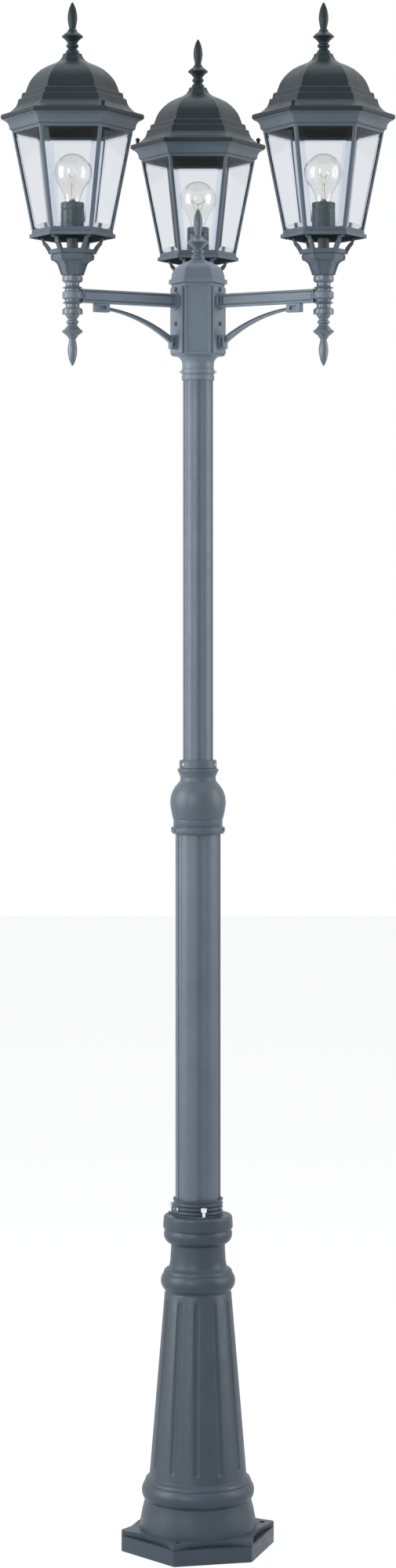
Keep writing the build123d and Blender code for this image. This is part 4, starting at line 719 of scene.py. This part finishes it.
class LAMPPOST_OT_posts(bpy.types.Operator):
    """The two grooved post tubes"""

    bl_idname = "lamp_post.posts"
    bl_label = "Posts"

    def execute(self, context):
        size = context.scene.lamp_post_tubes
        for node, radius, groove, depth in (
            ("lower_post", size.lower_radius, size.lower_groove, size.groove_depth),
            ("upper_post", size.upper_radius, size.upper_groove, size.groove_depth * 0.75),
        ):
            low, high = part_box(node)
            half = groove / 2
            edge = math.asin(half / radius)
            lip = math.sqrt(radius**2 - half**2)
            wall = 0.45 * depth
            corners = []
            for turn in SIXTHS:
                heading = size.groove_turn + turn
                way = Vector((math.cos(heading), math.sin(heading)))
                across = Vector((-way.y, way.x))
                for k in range(11):
                    share = (k - 5) / 5
                    out = lip - wall - (lip - wall - radius + depth) * (1 - share**2)
                    corners.append(tuple(way * out + across * (half - 0.25 * MM) * share))
                span = math.radians(60) - 2 * edge
                for k in range(13):
                    spot = heading + edge + span * k / 12
                    corners.append((radius * math.cos(spot), radius * math.sin(spot)))
            tube = prism(corners, low.z, high.z)
            on_pole(tube, f"grooved_{node}", "tube", [node], 0.3 * MM, 24)
        return {"FINISHED"}


class LAMPPOST_OT_coupling(bpy.types.Operator):
    """The ball-shaped collar between the posts"""

    bl_idname = "lamp_post.coupling"
    bl_label = "Post coupling"

    def execute(self, context):
        line = outline((
            (38.5, 0), (42.2, 0), (45.3, 6.6, 44.6, 2.4), (42.6, 11.6, 44.9, 10.4), (41.2, 12),
            (40.9, 12.8), (41.4, 13.6), (41.4, 24.6), (42.4, 25.4), (44.6, 35), (46.6, 47), (46.9, 54),
            (46.3, 60), (45.2, 65.5), (43.0, 71.5), (40.0, 77), (36.2, 82), (32.4, 86.4), (30.3, 89),
            (29.9, 93), (29.9, 96), (33.8, 105), (34.8, 107), (34.6, 108.8), (32, 109.8), (30.9, 110.4),
            (31.5, 111.2), (31.5, 122), (30, 124), (25.7, 124),
        ), COLLAR_Z)
        body = spun(line, ROUND, closed=True)
        holes = []
        for height, depth in ((7.8 * MM, 50 * MM), (117 * MM, 36 * MM)):
            hole = rod((30 * MM, 0, COLLAR_Z + height), (depth, 0, COLLAR_Z + height), 2.6 * MM, 24)
            holes.append(around(hole, [math.radians(-142 + 120 * k) for k in range(3)]))
        body = carved(body, joined(*holes))
        on_pole(body, "ball_collar", "lantern", ["post_coupling"], 0.4 * MM, 32)
        return {"FINISHED"}


class LAMPPOST_OT_hub(bpy.types.Operator):
    """Round collar, six-sided hub and its low cap"""

    bl_idname = "lamp_post.hub"
    bl_label = "Hub"

    def execute(self, context):
        size = context.scene.lamp_post_head
        corner = size.hub_flats / 2 / math.cos(math.pi / 6)
        line = outline((
            (25.6, 0), (26.5, 0), (27.6, 1.2), (27.6, 8.2), (26.3, 9.2), (26.3, 10.4), (28, 11.4),
            (28.3, 15), (28, 18.6), (26.6, 19.8), (26.8, 21), (26.8, 27.4), (36.4, 41, 29.3, 35.4),
            (36.4, 46), (25.6, 46),
        ), HUB_Z)
        body_z = HUB_Z + 41 * MM
        edge = 1 * MM
        shell = spun([
            (0, body_z + edge), (corner - edge, body_z), (corner, body_z + edge),
            (corner, HUB_TOP), (0, HUB_TOP),
        ], 6)
        blank = []
        for heading in (-90, 30, 150):
            way = (math.cos(math.radians(heading)), math.sin(math.radians(heading)), 0)
            blank += facing(shell, way)
        margin = 4.4 * MM
        bmesh.ops.inset_individual(shell, faces=blank, thickness=margin, depth=0.0, use_even_offset=True)
        bmesh.ops.inset_individual(
            shell, faces=blank, thickness=0.4 * MM, depth=-1.6 * MM, use_even_offset=True
        )
        face, half = size.hub_flats / 2, size.plate_width / 2
        low, high = HUB_TOP - 118.4 * MM, HUB_TOP - 5.6 * MM
        gaps = joined(
            block((face - 2.5 * MM, half - 0.3 * MM, low), (face + 2 * MM, half + 1.5 * MM, high)),
            block((face - 2.5 * MM, -half - 1.5 * MM, low), (face + 2 * MM, 0.3 * MM - half, high)),
        )
        shell = carved(shell, around(gaps, [math.radians(heading) for heading in (-30, 90, -150)]))
        collar = spun(line, ROUND, closed=True)
        holes = rod((24 * MM, 0, HUB_Z + 13.5 * MM), (40 * MM, 0, HUB_Z + 13.5 * MM), 2.6 * MM, 24)
        collar = carved(collar, around(holes, [0.0, math.pi]))
        on_pole(collar, "hub_collar", "casting", ["hub_body"], 0.4 * MM, 30)
        on_pole(shell, "hub_block", "casting", ["hub_body"], 0.5 * MM)
        cap = spun(outline((
            (0, 0), (48.5, 0), (49.3, 0.8), (49.3, 7.4), (48.7, 8.2), (46.4, 8.6), (45.2, 8), (45.2, 9),
            (45.4, 9.8), (44.4, 16), (42.2, 22.5), (38.4, 28), (31.8, 33), (23, 37), (15, 40), (11.8, 42.4),
            (11.2, 43), (0, 43),
        ), HUB_TOP), 6)
        on_pole(cap, "hub_dome", "casting", ["hub_cap"], 0.5 * MM, 18)
        return {"FINISHED"}


FINIAL = (
    (0, 0), (11.2, 0), (11.2, 2.6), (10.5, 3.9), (8.8, 5.9), (7.5, 7.8), (7.4, 9.3),
    (7.6, 16.1, 10.25, 12.8), (7.6, 16.9), (8.8, 19), (10.3, 21), (12, 22.9), (14.1, 24.9), (17, 26.9),
    (17.7, 27.8), (17.1, 28.8), (16, 30.1), (13.7, 32.1), (12.1, 33.4), (10.1, 34.8), (8.5, 36), (8.3, 37),
    (7.4, 38.6), (6.4, 40), (5.3, 41.1), (5.5, 41.9), (5.8, 43.2), (6.4, 46.5), (7, 49.8), (7.55, 53),
    (7.9, 56.3), (8, 59.6), (7.8, 62.9), (7.4, 66.1), (6.8, 69.4), (6.1, 72.7), (5.1, 76), (3.8, 79.2),
    (2.6, 81.8), (1.6, 83.8), (0.8, 84.7), (0, 85),
)


class LAMPPOST_OT_finials(bpy.types.Operator):
    """Turned finials on the hub, on the roofs and under the arms"""

    bl_idname = "lamp_post.finials"
    bl_label = "Finials"

    def execute(self, context):
        standing = spun(outline(FINIAL, CAP_TOP), 48)
        on_pole(standing, "turned_hub_finial", "turned", ["hub_finial"], 0.25 * MM)
        each_way(
            spun(outline(FINIAL, ROOF_TOP), 48), "turned_roof_finial", "roof", ["roof_finial"],
            0.25 * MM, body="{side}_roof_body",
        )
        hanging = spun([(r, -z) for r, z in outline(FINIAL)], 48)
        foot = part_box("right_stem_finial")[0].z + FINIAL[-1][1] * MM
        bmesh.ops.translate(hanging, verts=hanging.verts[:], vec=(0, 0, foot))
        each_way(hanging, "turned_stem_finial", "turned", ["stem_finial"], 0.25 * MM)
        return {"FINISHED"}


class LAMPPOST_OT_arms(bpy.types.Operator):
    """Arm plates, hollow-sided bars and their eyes"""

    bl_idname = "lamp_post.arms"
    bl_label = "Arms"

    def execute(self, context):
        size = context.scene.lamp_post_head
        face = size.hub_flats / 2
        low, high = HUB_TOP - 118 * MM, HUB_TOP - 6 * MM
        half = size.plate_width / 2
        plate = block((face - 0.5 * MM, -half, low), (face + 4 * MM, half, high))
        bmesh.ops.bevel(
            plate, geom=[e for f in facing(plate, (1, 0, 0)) for e in f.edges], offset=1 * MM, segments=2,
            profile=0.5, affect="EDGES", material=-1,
        )
        boss = spun(outline(((0, -1), (14.8, -1), (14.8, 3.9), (14.2, 4.5), (0, 4.5))), 48)
        bmesh.ops.rotate(boss, verts=boss.verts[:], matrix=Matrix.Rotation(math.pi / 2, 3, "Y"))
        bmesh.ops.translate(boss, verts=boss.verts[:], vec=(face + 4 * MM, 0, ARM_Z))
        bar = block(
            (face + 8.4 * MM, -size.arm_width / 2, ARM_Z - size.arm_height / 2),
            (REACH - 15.4 * MM, size.arm_width / 2, ARM_Z + size.arm_height / 2),
        )
        sides = facing(bar, (0, 1, 0)) + facing(bar, (0, -1, 0))
        sunk(bar, sides, 3 * MM, size.web_recess, size.web_recess / 2)
        eye = spun(outline((
            (0, -7.2), (14, -7.2), (16.8, -4.4), (16.8, 4.4), (14, 7.2), (0, 7.2),
        ), ARM_Z), 64)
        bmesh.ops.translate(eye, verts=eye.verts[:], vec=(REACH, 0, 0))
        arm = joined(plate, boss, bar, eye)
        each_way(arm, "bracket_arm", "casting", ["arm"], 0.6 * MM, reach=0.0)
        return {"FINISHED"}


class LAMPPOST_OT_braces(bpy.types.Operator):
    """Curved straps under the arms with their clips and feet"""

    bl_idname = "lamp_post.braces"
    bl_label = "Braces"

    def execute(self, context):
        size = context.scene.lamp_post_head
        low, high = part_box("rear_brace")
        inner, outer = low.y, high.y
        top, foot = high.z, low.z
        clip_height, foot_height = 14.5 * MM, 23 * MM
        clip = outer - 26 * MM
        face = inner + 11.5 * MM
        clip_z = top - clip_height * 0.58
        root = foot + 20 * MM
        crest = (root + clip_z) / 2 + 9.4 * MM
        mid = (face + clip) / 2
        upper = [(face - 2 * MM, root)]
        upper += through(upper[0], (mid, crest), (clip + 2 * MM, clip_z + 2.25 * MM), 24)
        lower = [(face - 2 * MM, root - 11.8 * MM)]
        lower += through(lower[0], (mid + 2 * MM, crest - 5.6 * MM), (clip + 2 * MM, clip_z - 2.25 * MM), 24)
        strap = slab(upper + lower[::-1], size.brace_width)
        sunk(strap, facing(strap, (0, 1, 0)) + facing(strap, (0, -1, 0)), 1.1 * MM, 3 * MM)
        half = 6 * MM
        holder = block((clip, -half, top - clip_height), (outer, half, top))
        shoe = block((inner, -half, foot), (face, half, foot + foot_height))
        hollow = 4 * MM
        for side in (1, -1):
            near, far = sorted((side * (half - hollow), side * (half + hollow)))
            window = block((clip + 6.6 * MM, near, top - 10.6 * MM), (outer - 6.6 * MM, far, top - 4.2 * MM))
            slot = block((inner + 4.2 * MM, near, foot + 4.2 * MM), (face - 4 * MM, far, foot + 18.8 * MM))
            holder, shoe = carved(holder, window), carved(shoe, slot)
        brace = joined(strap, holder, shoe)
        each_way(brace, "strap_brace", "casting", ["brace"], 0.45 * MM, reach=0.0)
        return {"FINISHED"}


class LAMPPOST_OT_stems(bpy.types.Operator):
    """Turned collars above and below each arm's eye"""

    bl_idname = "lamp_post.stems"
    bl_label = "Stem collars"

    def execute(self, context):
        upper = outline((
            (5.6, 0), (12.5, 0), (12.5, 3), (13.3, 3.5), (16.4, 4.7), (16.7, 5), (16.3, 5.5), (12.2, 7.5),
            (11.6, 8.1), (11.6, 13.3), (12, 13.8), (14.3, 13.9), (16.9, 16.4), (17, 16.8), (17, 23.9),
            (16.6, 24.3), (13.6, 24.3), (13.6, 25.8), (5.6, 25.8),
        ))
        half_eye, ring_top = 7.2 * MM, 24.3 * MM
        over = spun([(r, ARM_Z + half_eye + z) for r, z in upper], 56, closed=True)
        under = spun([(r, ARM_Z - half_eye - min(z, ring_top)) for r, z in upper], 56, closed=True)
        each_way(joined(over, under), "turned_collars", "turned", ["stem_collars"], 0.3 * MM)
        return {"FINISHED"}


class LAMPPOST_OT_cradles(bpy.types.Operator):
    """Ribbed bell, curved struts and the tray that carry a lantern"""

    bl_idname = "lamp_post.cradles"
    bl_label = "Cradles"

    def execute(self, context):
        size = context.scene.lamp_post_lantern
        profile = (
            (18.6, 0), (19.2, 0.6), (19.9, 3), (21.6, 8), (23.6, 14), (25.6, 18.9), (29.5, 22.4),
            (35, 24.9), (35.8, 26), (36.6, 33),
        )
        bell = spun(outline([(r - 1.3, z) for r, z in profile[:-1]] + [(0, 26)], CRADLE_Z), 6, CORNER)
        rib = spun(outline(profile, CRADLE_Z), 6, 0.0)
        for way in ((0, 1, 0), (0, -1, 0)):
            bmesh.ops.bisect_plane(
                rib, geom=rib.verts[:] + rib.edges[:] + rib.faces[:], plane_co=Vector(way) * 3.3 * MM,
                plane_no=way, clear_outer=True,
            )
        bmesh.ops.bisect_plane(
            rib, geom=rib.verts[:] + rib.edges[:] + rib.faces[:], plane_co=(4 * MM, 0, 0),
            plane_no=(-1, 0, 0), clear_outer=True,
        )
        bmesh.ops.recalc_face_normals(rib, faces=rib.faces[:])
        if sum(f.normal.x for f in rib.faces) < 0:
            bmesh.ops.reverse_faces(rib, faces=rib.faces[:])
        bmesh.ops.solidify(rib, geom=rib.faces[:], thickness=2.2 * MM)
        band = spun(outline((
            (0, 24.4), (33.9, 24.4), (34.7, 25.6), (35.5, 33), (35.5, 33.5), (34.3, 33.6), (34.3, 34.6),
            (38.4, 34.7), (38.9, 35.4), (40, 41.4), (39.5, 42), (34, 42), (33, 41), (33, 30), (0, 30),
        ), CRADLE_Z), 6, CORNER)
        outer = outline((
            (39.6, 34.8), (40.2, 38), (42, 40.9), (45, 45.9), (48.2, 50), (49.1, 50.9), (49.4, 53.9),
            (51, 57.2), (52.8, 59.6), (53, 61.5),
        ), CRADLE_Z)
        back = outline((
            (33.6, 36), (34, 40.2), (36.2, 45.3), (40.4, 50.9), (44, 54.6), (47, 57.6), (47.4, 61.5),
        ), CRADLE_Z)
        strut = slab(outer + back[::-1], 6 * MM)
        low, high = CRADLE_Z + 61 * MM, TRAY_TOP
        wide, edge = size.tray_corner, 0.7 * MM
        tray = spun([
            (0, low), (wide - edge, low), (wide, low + edge),
            (wide, high - edge), (wide - edge, high), (0, high),
        ], 6, CORNER)
        # The tray's underside gets the painted-shade inside finish.
        paint_shade_inside(tray)
        whole = joined(bell, band, around(joined(rib, strut), CORNERS), tray)
        each_way(whole, "ribbed_cradle", "lantern", ["cradle"], 0.4 * MM, crease=25)
        return {"FINISHED"}


class LAMPPOST_OT_cages(bpy.types.Operator):
    """Six leaning bars, the sill and the cornice of each lantern"""

    bl_idname = "lamp_post.cages"
    bl_label = "Cages"

    def execute(self, context):
        size = context.scene.lamp_post_lantern
        top = TRAY_TOP + size.glass_height
        shell = spun([(size.cage_foot, TRAY_TOP), (size.cage_head, top)], 6, CORNER)
        windows = shell.faces[:]
        bmesh.ops.inset_individual(
            shell, faces=windows, thickness=size.bar_half_width, depth=0.0, use_even_offset=True
        )
        for window in windows:
            for corner in window.verts:
                if corner.co.z < TRAY_TOP + 20 * MM:
                    along = Vector((0, 0, 2.3 * MM))
                    out = (
                        corner.co.xy.normalized() * 2.3 * MM * (size.cage_head - size.cage_foot)
                        / size.glass_height
                    )
                    corner.co += along + Vector((out.x, out.y, 0))
        bmesh.ops.delete(shell, geom=windows, context="FACES")
        bmesh.ops.recalc_face_normals(shell, faces=shell.faces[:])
        outward = sum(f.normal.xy.dot(f.calc_center_median().xy) for f in shell.faces)
        if outward < 0:
            bmesh.ops.reverse_faces(shell, faces=shell.faces[:])
        bmesh.ops.solidify(shell, geom=shell.faces[:], thickness=6 * MM)
        cornice = spun(outline((
            (90, 0), (101.5, 0), (102.6, 0.8), (104.2, 2.4), (104.4, 3.4), (113.4, 16.2, 106.8, 11.2),
            (115.9, 17.2), (116.2, 17.8), (116.2, 18.8), (90, 18.8),
        ), CORNICE_TOP - 18.8 * MM), 6, CORNER, closed=True)
        sill_line = ((-8, 0), (1.2, 0), (1.6, 1), (1.5, 3), (0.4, 4), (-8, 4))
        sill = spun(
            [(size.cage_foot + r * MM, TRAY_TOP + z * MM) for r, z in sill_line], 6, CORNER, closed=True
        )
        each_way(joined(shell, sill), "glazing_cage", "lantern", ["cage"], 0.5 * MM, crease=25)
        # The cornice's underside and inner faces get the painted-shade inside finish.
        paint_shade_inside(cornice)
        each_way(cornice, "moulded_cornice", "lantern", ["cage"], 0.5 * MM, crease=25)
        return {"FINISHED"}


class LAMPPOST_OT_panes(bpy.types.Operator):
    """Six panes with a wide ground bevel for each lantern"""

    bl_idname = "lamp_post.panes"
    bl_label = "Bevelled panes"

    def execute(self, context):
        size = context.scene.lamp_post_lantern
        flat = math.cos(math.pi / 6)
        slope = (size.cage_head - size.cage_foot) * flat / size.glass_height
        leaning = math.hypot(1, slope)
        back = 3.4 * MM

        def spot(side, height, margin, setback):
            radius = size.cage_foot * flat + slope * height
            across = side * (radius / math.sqrt(3) - margin)
            return Vector((radius - setback / leaning, across, TRAY_TOP + height + setback * slope / leaning))

        lap = 1.15 * MM
        low, high = 6 * MM - lap, size.glass_height + lap
        pane = bmesh.new()
        margin = size.bar_half_width - lap
        corners = ((-1, low), (1, low), (1, high), (-1, high))
        quad = [pane.verts.new(spot(side, height, margin, back)) for side, height in corners]
        face = pane.faces.new(quad)
        raised = bmesh.ops.extrude_face_region(pane, geom=[face])
        out = Vector((1, 0, -slope)).normalized()
        tops = [v for v in raised["geom"] if isinstance(v, bmesh.types.BMVert)]
        bmesh.ops.translate(pane, verts=tops, vec=out * 1.4 * MM)
        bmesh.ops.recalc_face_normals(pane, faces=pane.faces[:])
        front = facing(pane, out)
        bmesh.ops.inset_individual(pane, faces=front, thickness=lap, depth=0.0, use_even_offset=True)
        ground = bmesh.ops.inset_individual(
            pane, faces=front, thickness=size.pane_bevel, depth=1 * MM, use_even_offset=True
        )
        # The bevel faces take the second material, the painted-shade bevel tint.
        for slope_face in ground["faces"]:
            slope_face.material_index = 1
        each_way(around(pane, SIXTHS), "bevelled_panes", "glass", ["glass_panes"], crease=3)
        return {"FINISHED"}


class LAMPPOST_OT_roofs(bpy.types.Operator):
    """Stepped six-sided roofs and the ball screws that hold them"""

    bl_idname = "lamp_post.roofs"
    bl_label = "Roofs"

    def execute(self, context):
        size = context.scene.lamp_post_lantern
        lip = size.lip_corner / MM
        body = spun(outline((
            (86.6, 0), (lip - 0.8, 0), (lip, 0.9), (lip, 5.8), (lip - 0.8, 7.2), (lip - 5.9, 9),
            (98.4, 15.6, 104.8, 11.2), (93.4, 20.6), (90.8, 26.2), (89.5, 32), (88.6, 33.2), (85.4, 33.6),
            (84.6, 35.2), (83.4, 42), (82.4, 43.2), (77.8, 44), (76.9, 46.2), (75.2, 51.4), (73, 57),
            (70.3, 62.6), (66.7, 67.6), (62.6, 72.4), (57.4, 77.4), (50.4, 82.8), (41, 87.8), (33.6, 90.8),
            (26.8, 93.4), (20.8, 97.4), (17.2, 102.4), (15.6, 107), (15.5, 108), (8, 108), (8, 100),
            (31, 82), (58, 68), (72, 44), (80, 30), (86.6, 6),
        ), CORNICE_TOP), 6, CORNER, closed=True)
        # The roof's underside and inner faces get the painted-shade inside finish.
        paint_shade_inside(body)
        each_way(
            body, "stepped_roof", "roof", ["roof"], 0.7 * MM, crease=18, body="{side}_roof_body"
        )
        foot = CORNICE_TOP - 5 * MM
        screw_circle = 106 * MM
        screw = spun(outline((
            (0, 0), (2, 0), (2, 14.8), (3, 15), (3.3, 16.2), (2.7, 17), (2, 17.4), (2, 17.6), (0, 25, 4, 21),
        ), foot), 32)
        for tag, side in (("a", 1), ("b", -1)):
            one = screw.copy()
            bmesh.ops.translate(one, verts=one.verts[:], vec=(0, side * screw_circle, 0))
            each_way(
                one, f"ball_screw_{tag}", "roof", [f"thumb_screw_{tag}"],
                body="{side}_screw_" + tag + "_body",
            )
        screw.free()
        return {"FINISHED"}


class LAMPPOST_OT_lamps(bpy.types.Operator):
    """Lampholders, bulbs and their filaments"""

    bl_idname = "lamp_post.lamps"
    bl_label = "Lamps"

    def execute(self, context):
        size = context.scene.lamp_post_lantern
        holder = spun(outline((
            (5.6, 0), (18.3, 0), (19.3, 1), (19.3, 7.5), (18.7, 8), (18.7, 9.4), (19.3, 10), (19.3, 40),
            (18.8, 40.6), (18.8, 42), (19.3, 42.6), (19.3, 51.4), (18.2, 52.5), (16.8, 52.5), (16.8, 15.5),
            (12, 15.5), (12, 6), (5.6, 6),
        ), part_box("right_lampholder")[0].z), 56, closed=True)
        each_way(holder, "lampholder_cover", "holder", ["lampholder"], 0.3 * MM)
        steps = [(0, 0), (4.2, 0), (4.5, 0.6), (4.5, 2), (8, 2.5), (12.4, 5.5)]
        for k in range(6):
            steps += [(13.2, 6.8 + 2.9 * k), (12.5, 8.2 + 2.9 * k)]
        steps += [(12.9, 24), (12.9, 26.5), (0, 26.5)]
        thread = spun(outline(steps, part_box("right_bulb_cap")[0].z), 40)
        each_way(thread, "bulb_thread", "brass", ["bulb_cap"], body="{side}_bulb_body")
        glass_low, glass_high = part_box("right_bulb_glass")
        height = (glass_high.z - glass_low.z) / MM
        radius = size.bulb_radius / MM
        middle = height - radius
        bulb = outline((
            (0, 0), (12.6, 0), (12.7, 6), (13.9, 13), (17.2, 21), (21.9, 29.2), (26.4, 37.6), (29.2, 45.2),
            (radius, middle), (0, height, radius * 0.7071, middle + radius * 0.7071),
        ), glass_low.z)
        wall = 0.8 * MM
        inner = [(max(0.0, r - wall), z) for r, z in bulb[1:-1]]
        inner = [(0, glass_low.z + 1.5 * MM), (11.8 * MM, glass_low.z + 1.5 * MM)] + inner[1:]
        inner += [(0, bulb[-1][1] - wall)]
        outside, inside = spun(bulb, 56), spun(inner, 56)
        bmesh.ops.reverse_faces(inside, faces=inside.faces[:])
        shell = joined(outside, inside)
        each_way(shell, "clear_bulb", "bulb", ["bulb_glass"], body="{side}_bulb_body")
        foot = glass_low.z
        post = spun(outline((
            (0, 1), (8.5, 1), (6.4, 3), (3.4, 7), (2.6, 12), (2.2, 30), (2.9, 32.5), (0, 35),
        ), foot), 24)
        each_way(post, "bulb_stem", "bulb", body="{side}_bulb_body")
        parts = []
        knots = []
        for side in (-1, 1):
            tip = Vector((0, side * 12 * MM, foot + 50 * MM))
            parts.append(rod((0, side * 2.2 * MM, foot + 26 * MM), tip, 0.35 * MM, 8))
        for k in range(9):
            share = k / 8
            across, sag = -12 + 24 * share, 7 * math.sin(share * math.pi)
            knots.append(Vector((0, across * MM, foot + (50 - sag) * MM)))
        for a, b in zip(knots, knots[1:]):
            parts.append(rod(a, b, 0.5 * MM, 10))
        parts.append(rod((0, 0, foot + 33 * MM), knots[4], 0.25 * MM, 8))
        each_way(joined(*parts), "filament", "filament", body="{side}_bulb_body")
        return {"FINISHED"}


class LAMPPOST_OT_hardware(bpy.types.Operator):
    """Materials of the screws, nipples and wires that keep their shapes"""

    bl_idname = "lamp_post.hardware"
    bl_label = "Screws and wires"

    def execute(self, context):
        kept = {
            "set_screws": "zinc",
            "arm_screws": "dark_zinc",
            "tray_screws": "dark_zinc",
            "lamp_nipples": "nipple",
            "screw_shells": "brass",
            "cap_stud": "zinc",
            "lamp_leads": "insulation",
            "supply_cable": "insulation",
            "wire_connectors": "connector",
        }
        for node, kind in kept.items():
            plain(node, kind)
        return {"FINISHED"}


class LAMPPOST_OT_stage(bpy.types.Operator):
    """Pale floor, white surroundings, soft studio lamps and the camera"""

    bl_idname = "lamp_post.stage"
    bl_label = "Stage"

    def execute(self, context):
        scene = context.scene
        scene.view_settings.view_transform = "Standard"
        world = bpy.data.worlds.new("studio") if scene.world is None else scene.world
        scene.world = world
        world.use_nodes = True
        tree = world.node_tree
        tree.nodes.clear()
        output = tree.nodes.new("ShaderNodeOutputWorld")
        light, white = tree.nodes.new("ShaderNodeBackground"), tree.nodes.new("ShaderNodeBackground")
        light.inputs["Color"].default_value = (0.92, 0.96, 1.0, 1.0)
        light.inputs["Strength"].default_value = 0.30
        mix = tree.nodes.new("ShaderNodeMixShader")
        tree.links.new(self.seen(tree, 1.0), mix.inputs["Fac"])
        tree.links.new(light.outputs[0], mix.inputs[1])
        tree.links.new(white.outputs[0], mix.inputs[2])
        white.inputs["Color"].default_value = (1.0, 1.0, 1.0, 1.0)
        tree.links.new(mix.outputs[0], output.inputs["Surface"])

        bm = bmesh.new()
        bmesh.ops.create_grid(bm, x_segments=1, y_segments=1, size=12.0)
        mesh = bpy.data.meshes.new("studio_floor")
        bm.to_mesh(mesh)
        bm.free()
        floor = bpy.data.objects.new("studio_floor", mesh)
        scene.collection.objects.link(floor)
        material, tree, shader = nodes_of("floor_finish")
        colour = scene.lamp_post_finishes.floor
        pale = blend_colours(tree, self.seen(tree, 1.0), colour, tint(colour, 1.5))
        tree.links.new(pale, shader.inputs["Base Color"])
        shader.inputs["Roughness"].default_value = 0.8
        glow = tree.nodes.new("ShaderNodeEmission")
        glow.inputs["Strength"].default_value = 1.1
        mix = tree.nodes.new("ShaderNodeMixShader")
        tree.links.new(self.seen(tree, 0.8), mix.inputs["Fac"])
        tree.links.new(shader.outputs["BSDF"], mix.inputs[1])
        tree.links.new(glow.outputs[0], mix.inputs[2])
        output = next(n for n in tree.nodes if n.type == "OUTPUT_MATERIAL")
        tree.links.new(mix.outputs[0], output.inputs["Surface"])
        mesh.materials.append(material)

        for name, place, aim, width, height, power in (
            ("left_lamp", (-3.6, -0.9, 2.3), (0, 0, 1.6), 2.2, 3.2, 125.0),
            ("right_lamp", (3.6, -0.3, 2.3), (0, 0, 1.6), 2.2, 3.2, 80.0),
            ("front_lamp", (-1.9, -4.2, 2.4), (0, 0, 1.5), 1.2, 2.4, 66.0),
            ("top_lamp", (0.2, 0.6, 4.6), (0, 0, 1.8), 2.4, 2.4, 26.0),
        ):
            lamp = bpy.data.lights.new(name, "AREA")
            lamp.shape = "RECTANGLE"
            lamp.size, lamp.size_y, lamp.energy = width, height, power
            body = bpy.data.objects.new(name, lamp)
            body.location = place
            body.rotation_euler = (Vector(aim) - Vector(place)).to_track_quat("-Z", "Y").to_euler()
            scene.collection.objects.link(body)

        camera = bpy.data.cameras.new("camera")
        camera.lens = 77.58
        camera.sensor_width = 36.0
        camera.shift_y = -0.1069
        body = bpy.data.objects.new("camera", camera)
        body.location = (0, -5.698, 1.568)
        body.rotation_euler = (math.pi / 2, 0, 0)
        scene.collection.objects.link(body)
        scene.camera = body
        return {"FINISHED"}

    @staticmethod
    def seen(tree, share):
        """How far a ray is one that sees the surroundings.

        It comes from the camera, a gloss or through glass, with no diffuse bounce on its way.
        """
        path = tree.nodes.new("ShaderNodeLightPath")
        first, second, scaled, direct, kept = (tree.nodes.new("ShaderNodeMath") for _ in range(5))
        first.operation = second.operation = "MAXIMUM"
        scaled.operation = "MULTIPLY"
        scaled.inputs[1].default_value = share
        tree.links.new(path.outputs["Is Camera Ray"], first.inputs[0])
        tree.links.new(path.outputs["Is Glossy Ray"], first.inputs[1])
        tree.links.new(first.outputs[0], second.inputs[0])
        tree.links.new(path.outputs["Is Transmission Ray"], second.inputs[1])
        tree.links.new(second.outputs[0], scaled.inputs[0])
        direct.operation = "LESS_THAN"
        direct.inputs[1].default_value = 0.5
        kept.operation = "MULTIPLY"
        tree.links.new(path.outputs["Diffuse Depth"], direct.inputs[0])
        tree.links.new(scaled.outputs[0], kept.inputs[0])
        tree.links.new(direct.outputs[0], kept.inputs[1])
        return kept.outputs[0]


OPERATORS = (
    LAMPPOST_OT_stage, LAMPPOST_OT_base, LAMPPOST_OT_socket, LAMPPOST_OT_posts, LAMPPOST_OT_coupling,
    LAMPPOST_OT_hub, LAMPPOST_OT_finials, LAMPPOST_OT_arms, LAMPPOST_OT_braces, LAMPPOST_OT_stems,
    LAMPPOST_OT_cradles, LAMPPOST_OT_cages, LAMPPOST_OT_panes, LAMPPOST_OT_roofs, LAMPPOST_OT_lamps,
    LAMPPOST_OT_hardware,
)


class LAMPPOST_PT_panel(bpy.types.Panel):
    """Lists the sizes, the colours and the piece groups"""

    bl_idname = "LAMPPOST_PT_panel"
    bl_label = "Lamp post"
    bl_space_type = "VIEW_3D"
    bl_region_type = "UI"
    bl_category = "Lamp post"

    def draw(self, context):
        for name, group in GROUPS.items():
            sizes = getattr(context.scene, name)
            box = self.layout.box()
            for field in group.__annotations__:
                box.prop(sizes, field)
        for operator in OPERATORS:
            self.layout.operator(operator.bl_idname)


GROUPS = {
    "lamp_post_base": LampPostBaseSizes,
    "lamp_post_tubes": LampPostTubeSizes,
    "lamp_post_head": LampPostHeadSizes,
    "lamp_post_lantern": LampPostLanternSizes,
    "lamp_post_finishes": LampPostFinishes,
}


def register():
    for group in (*GROUPS.values(), *OPERATORS, LAMPPOST_PT_panel):
        bpy.utils.register_class(group)
    for name, group in GROUPS.items():
        setattr(bpy.types.Scene, name, bpy.props.PointerProperty(type=group))


def unregister():
    for name in GROUPS:
        delattr(bpy.types.Scene, name)
    for group in reversed((*GROUPS.values(), *OPERATORS, LAMPPOST_PT_panel)):
        bpy.utils.unregister_class(group)


def main():
    """Builds every piece in order."""
    register()
    for operator in OPERATORS:
        family, name = operator.bl_idname.split(".")
        getattr(getattr(bpy.ops, family), name)()


if __name__ == "__main__":
    main()
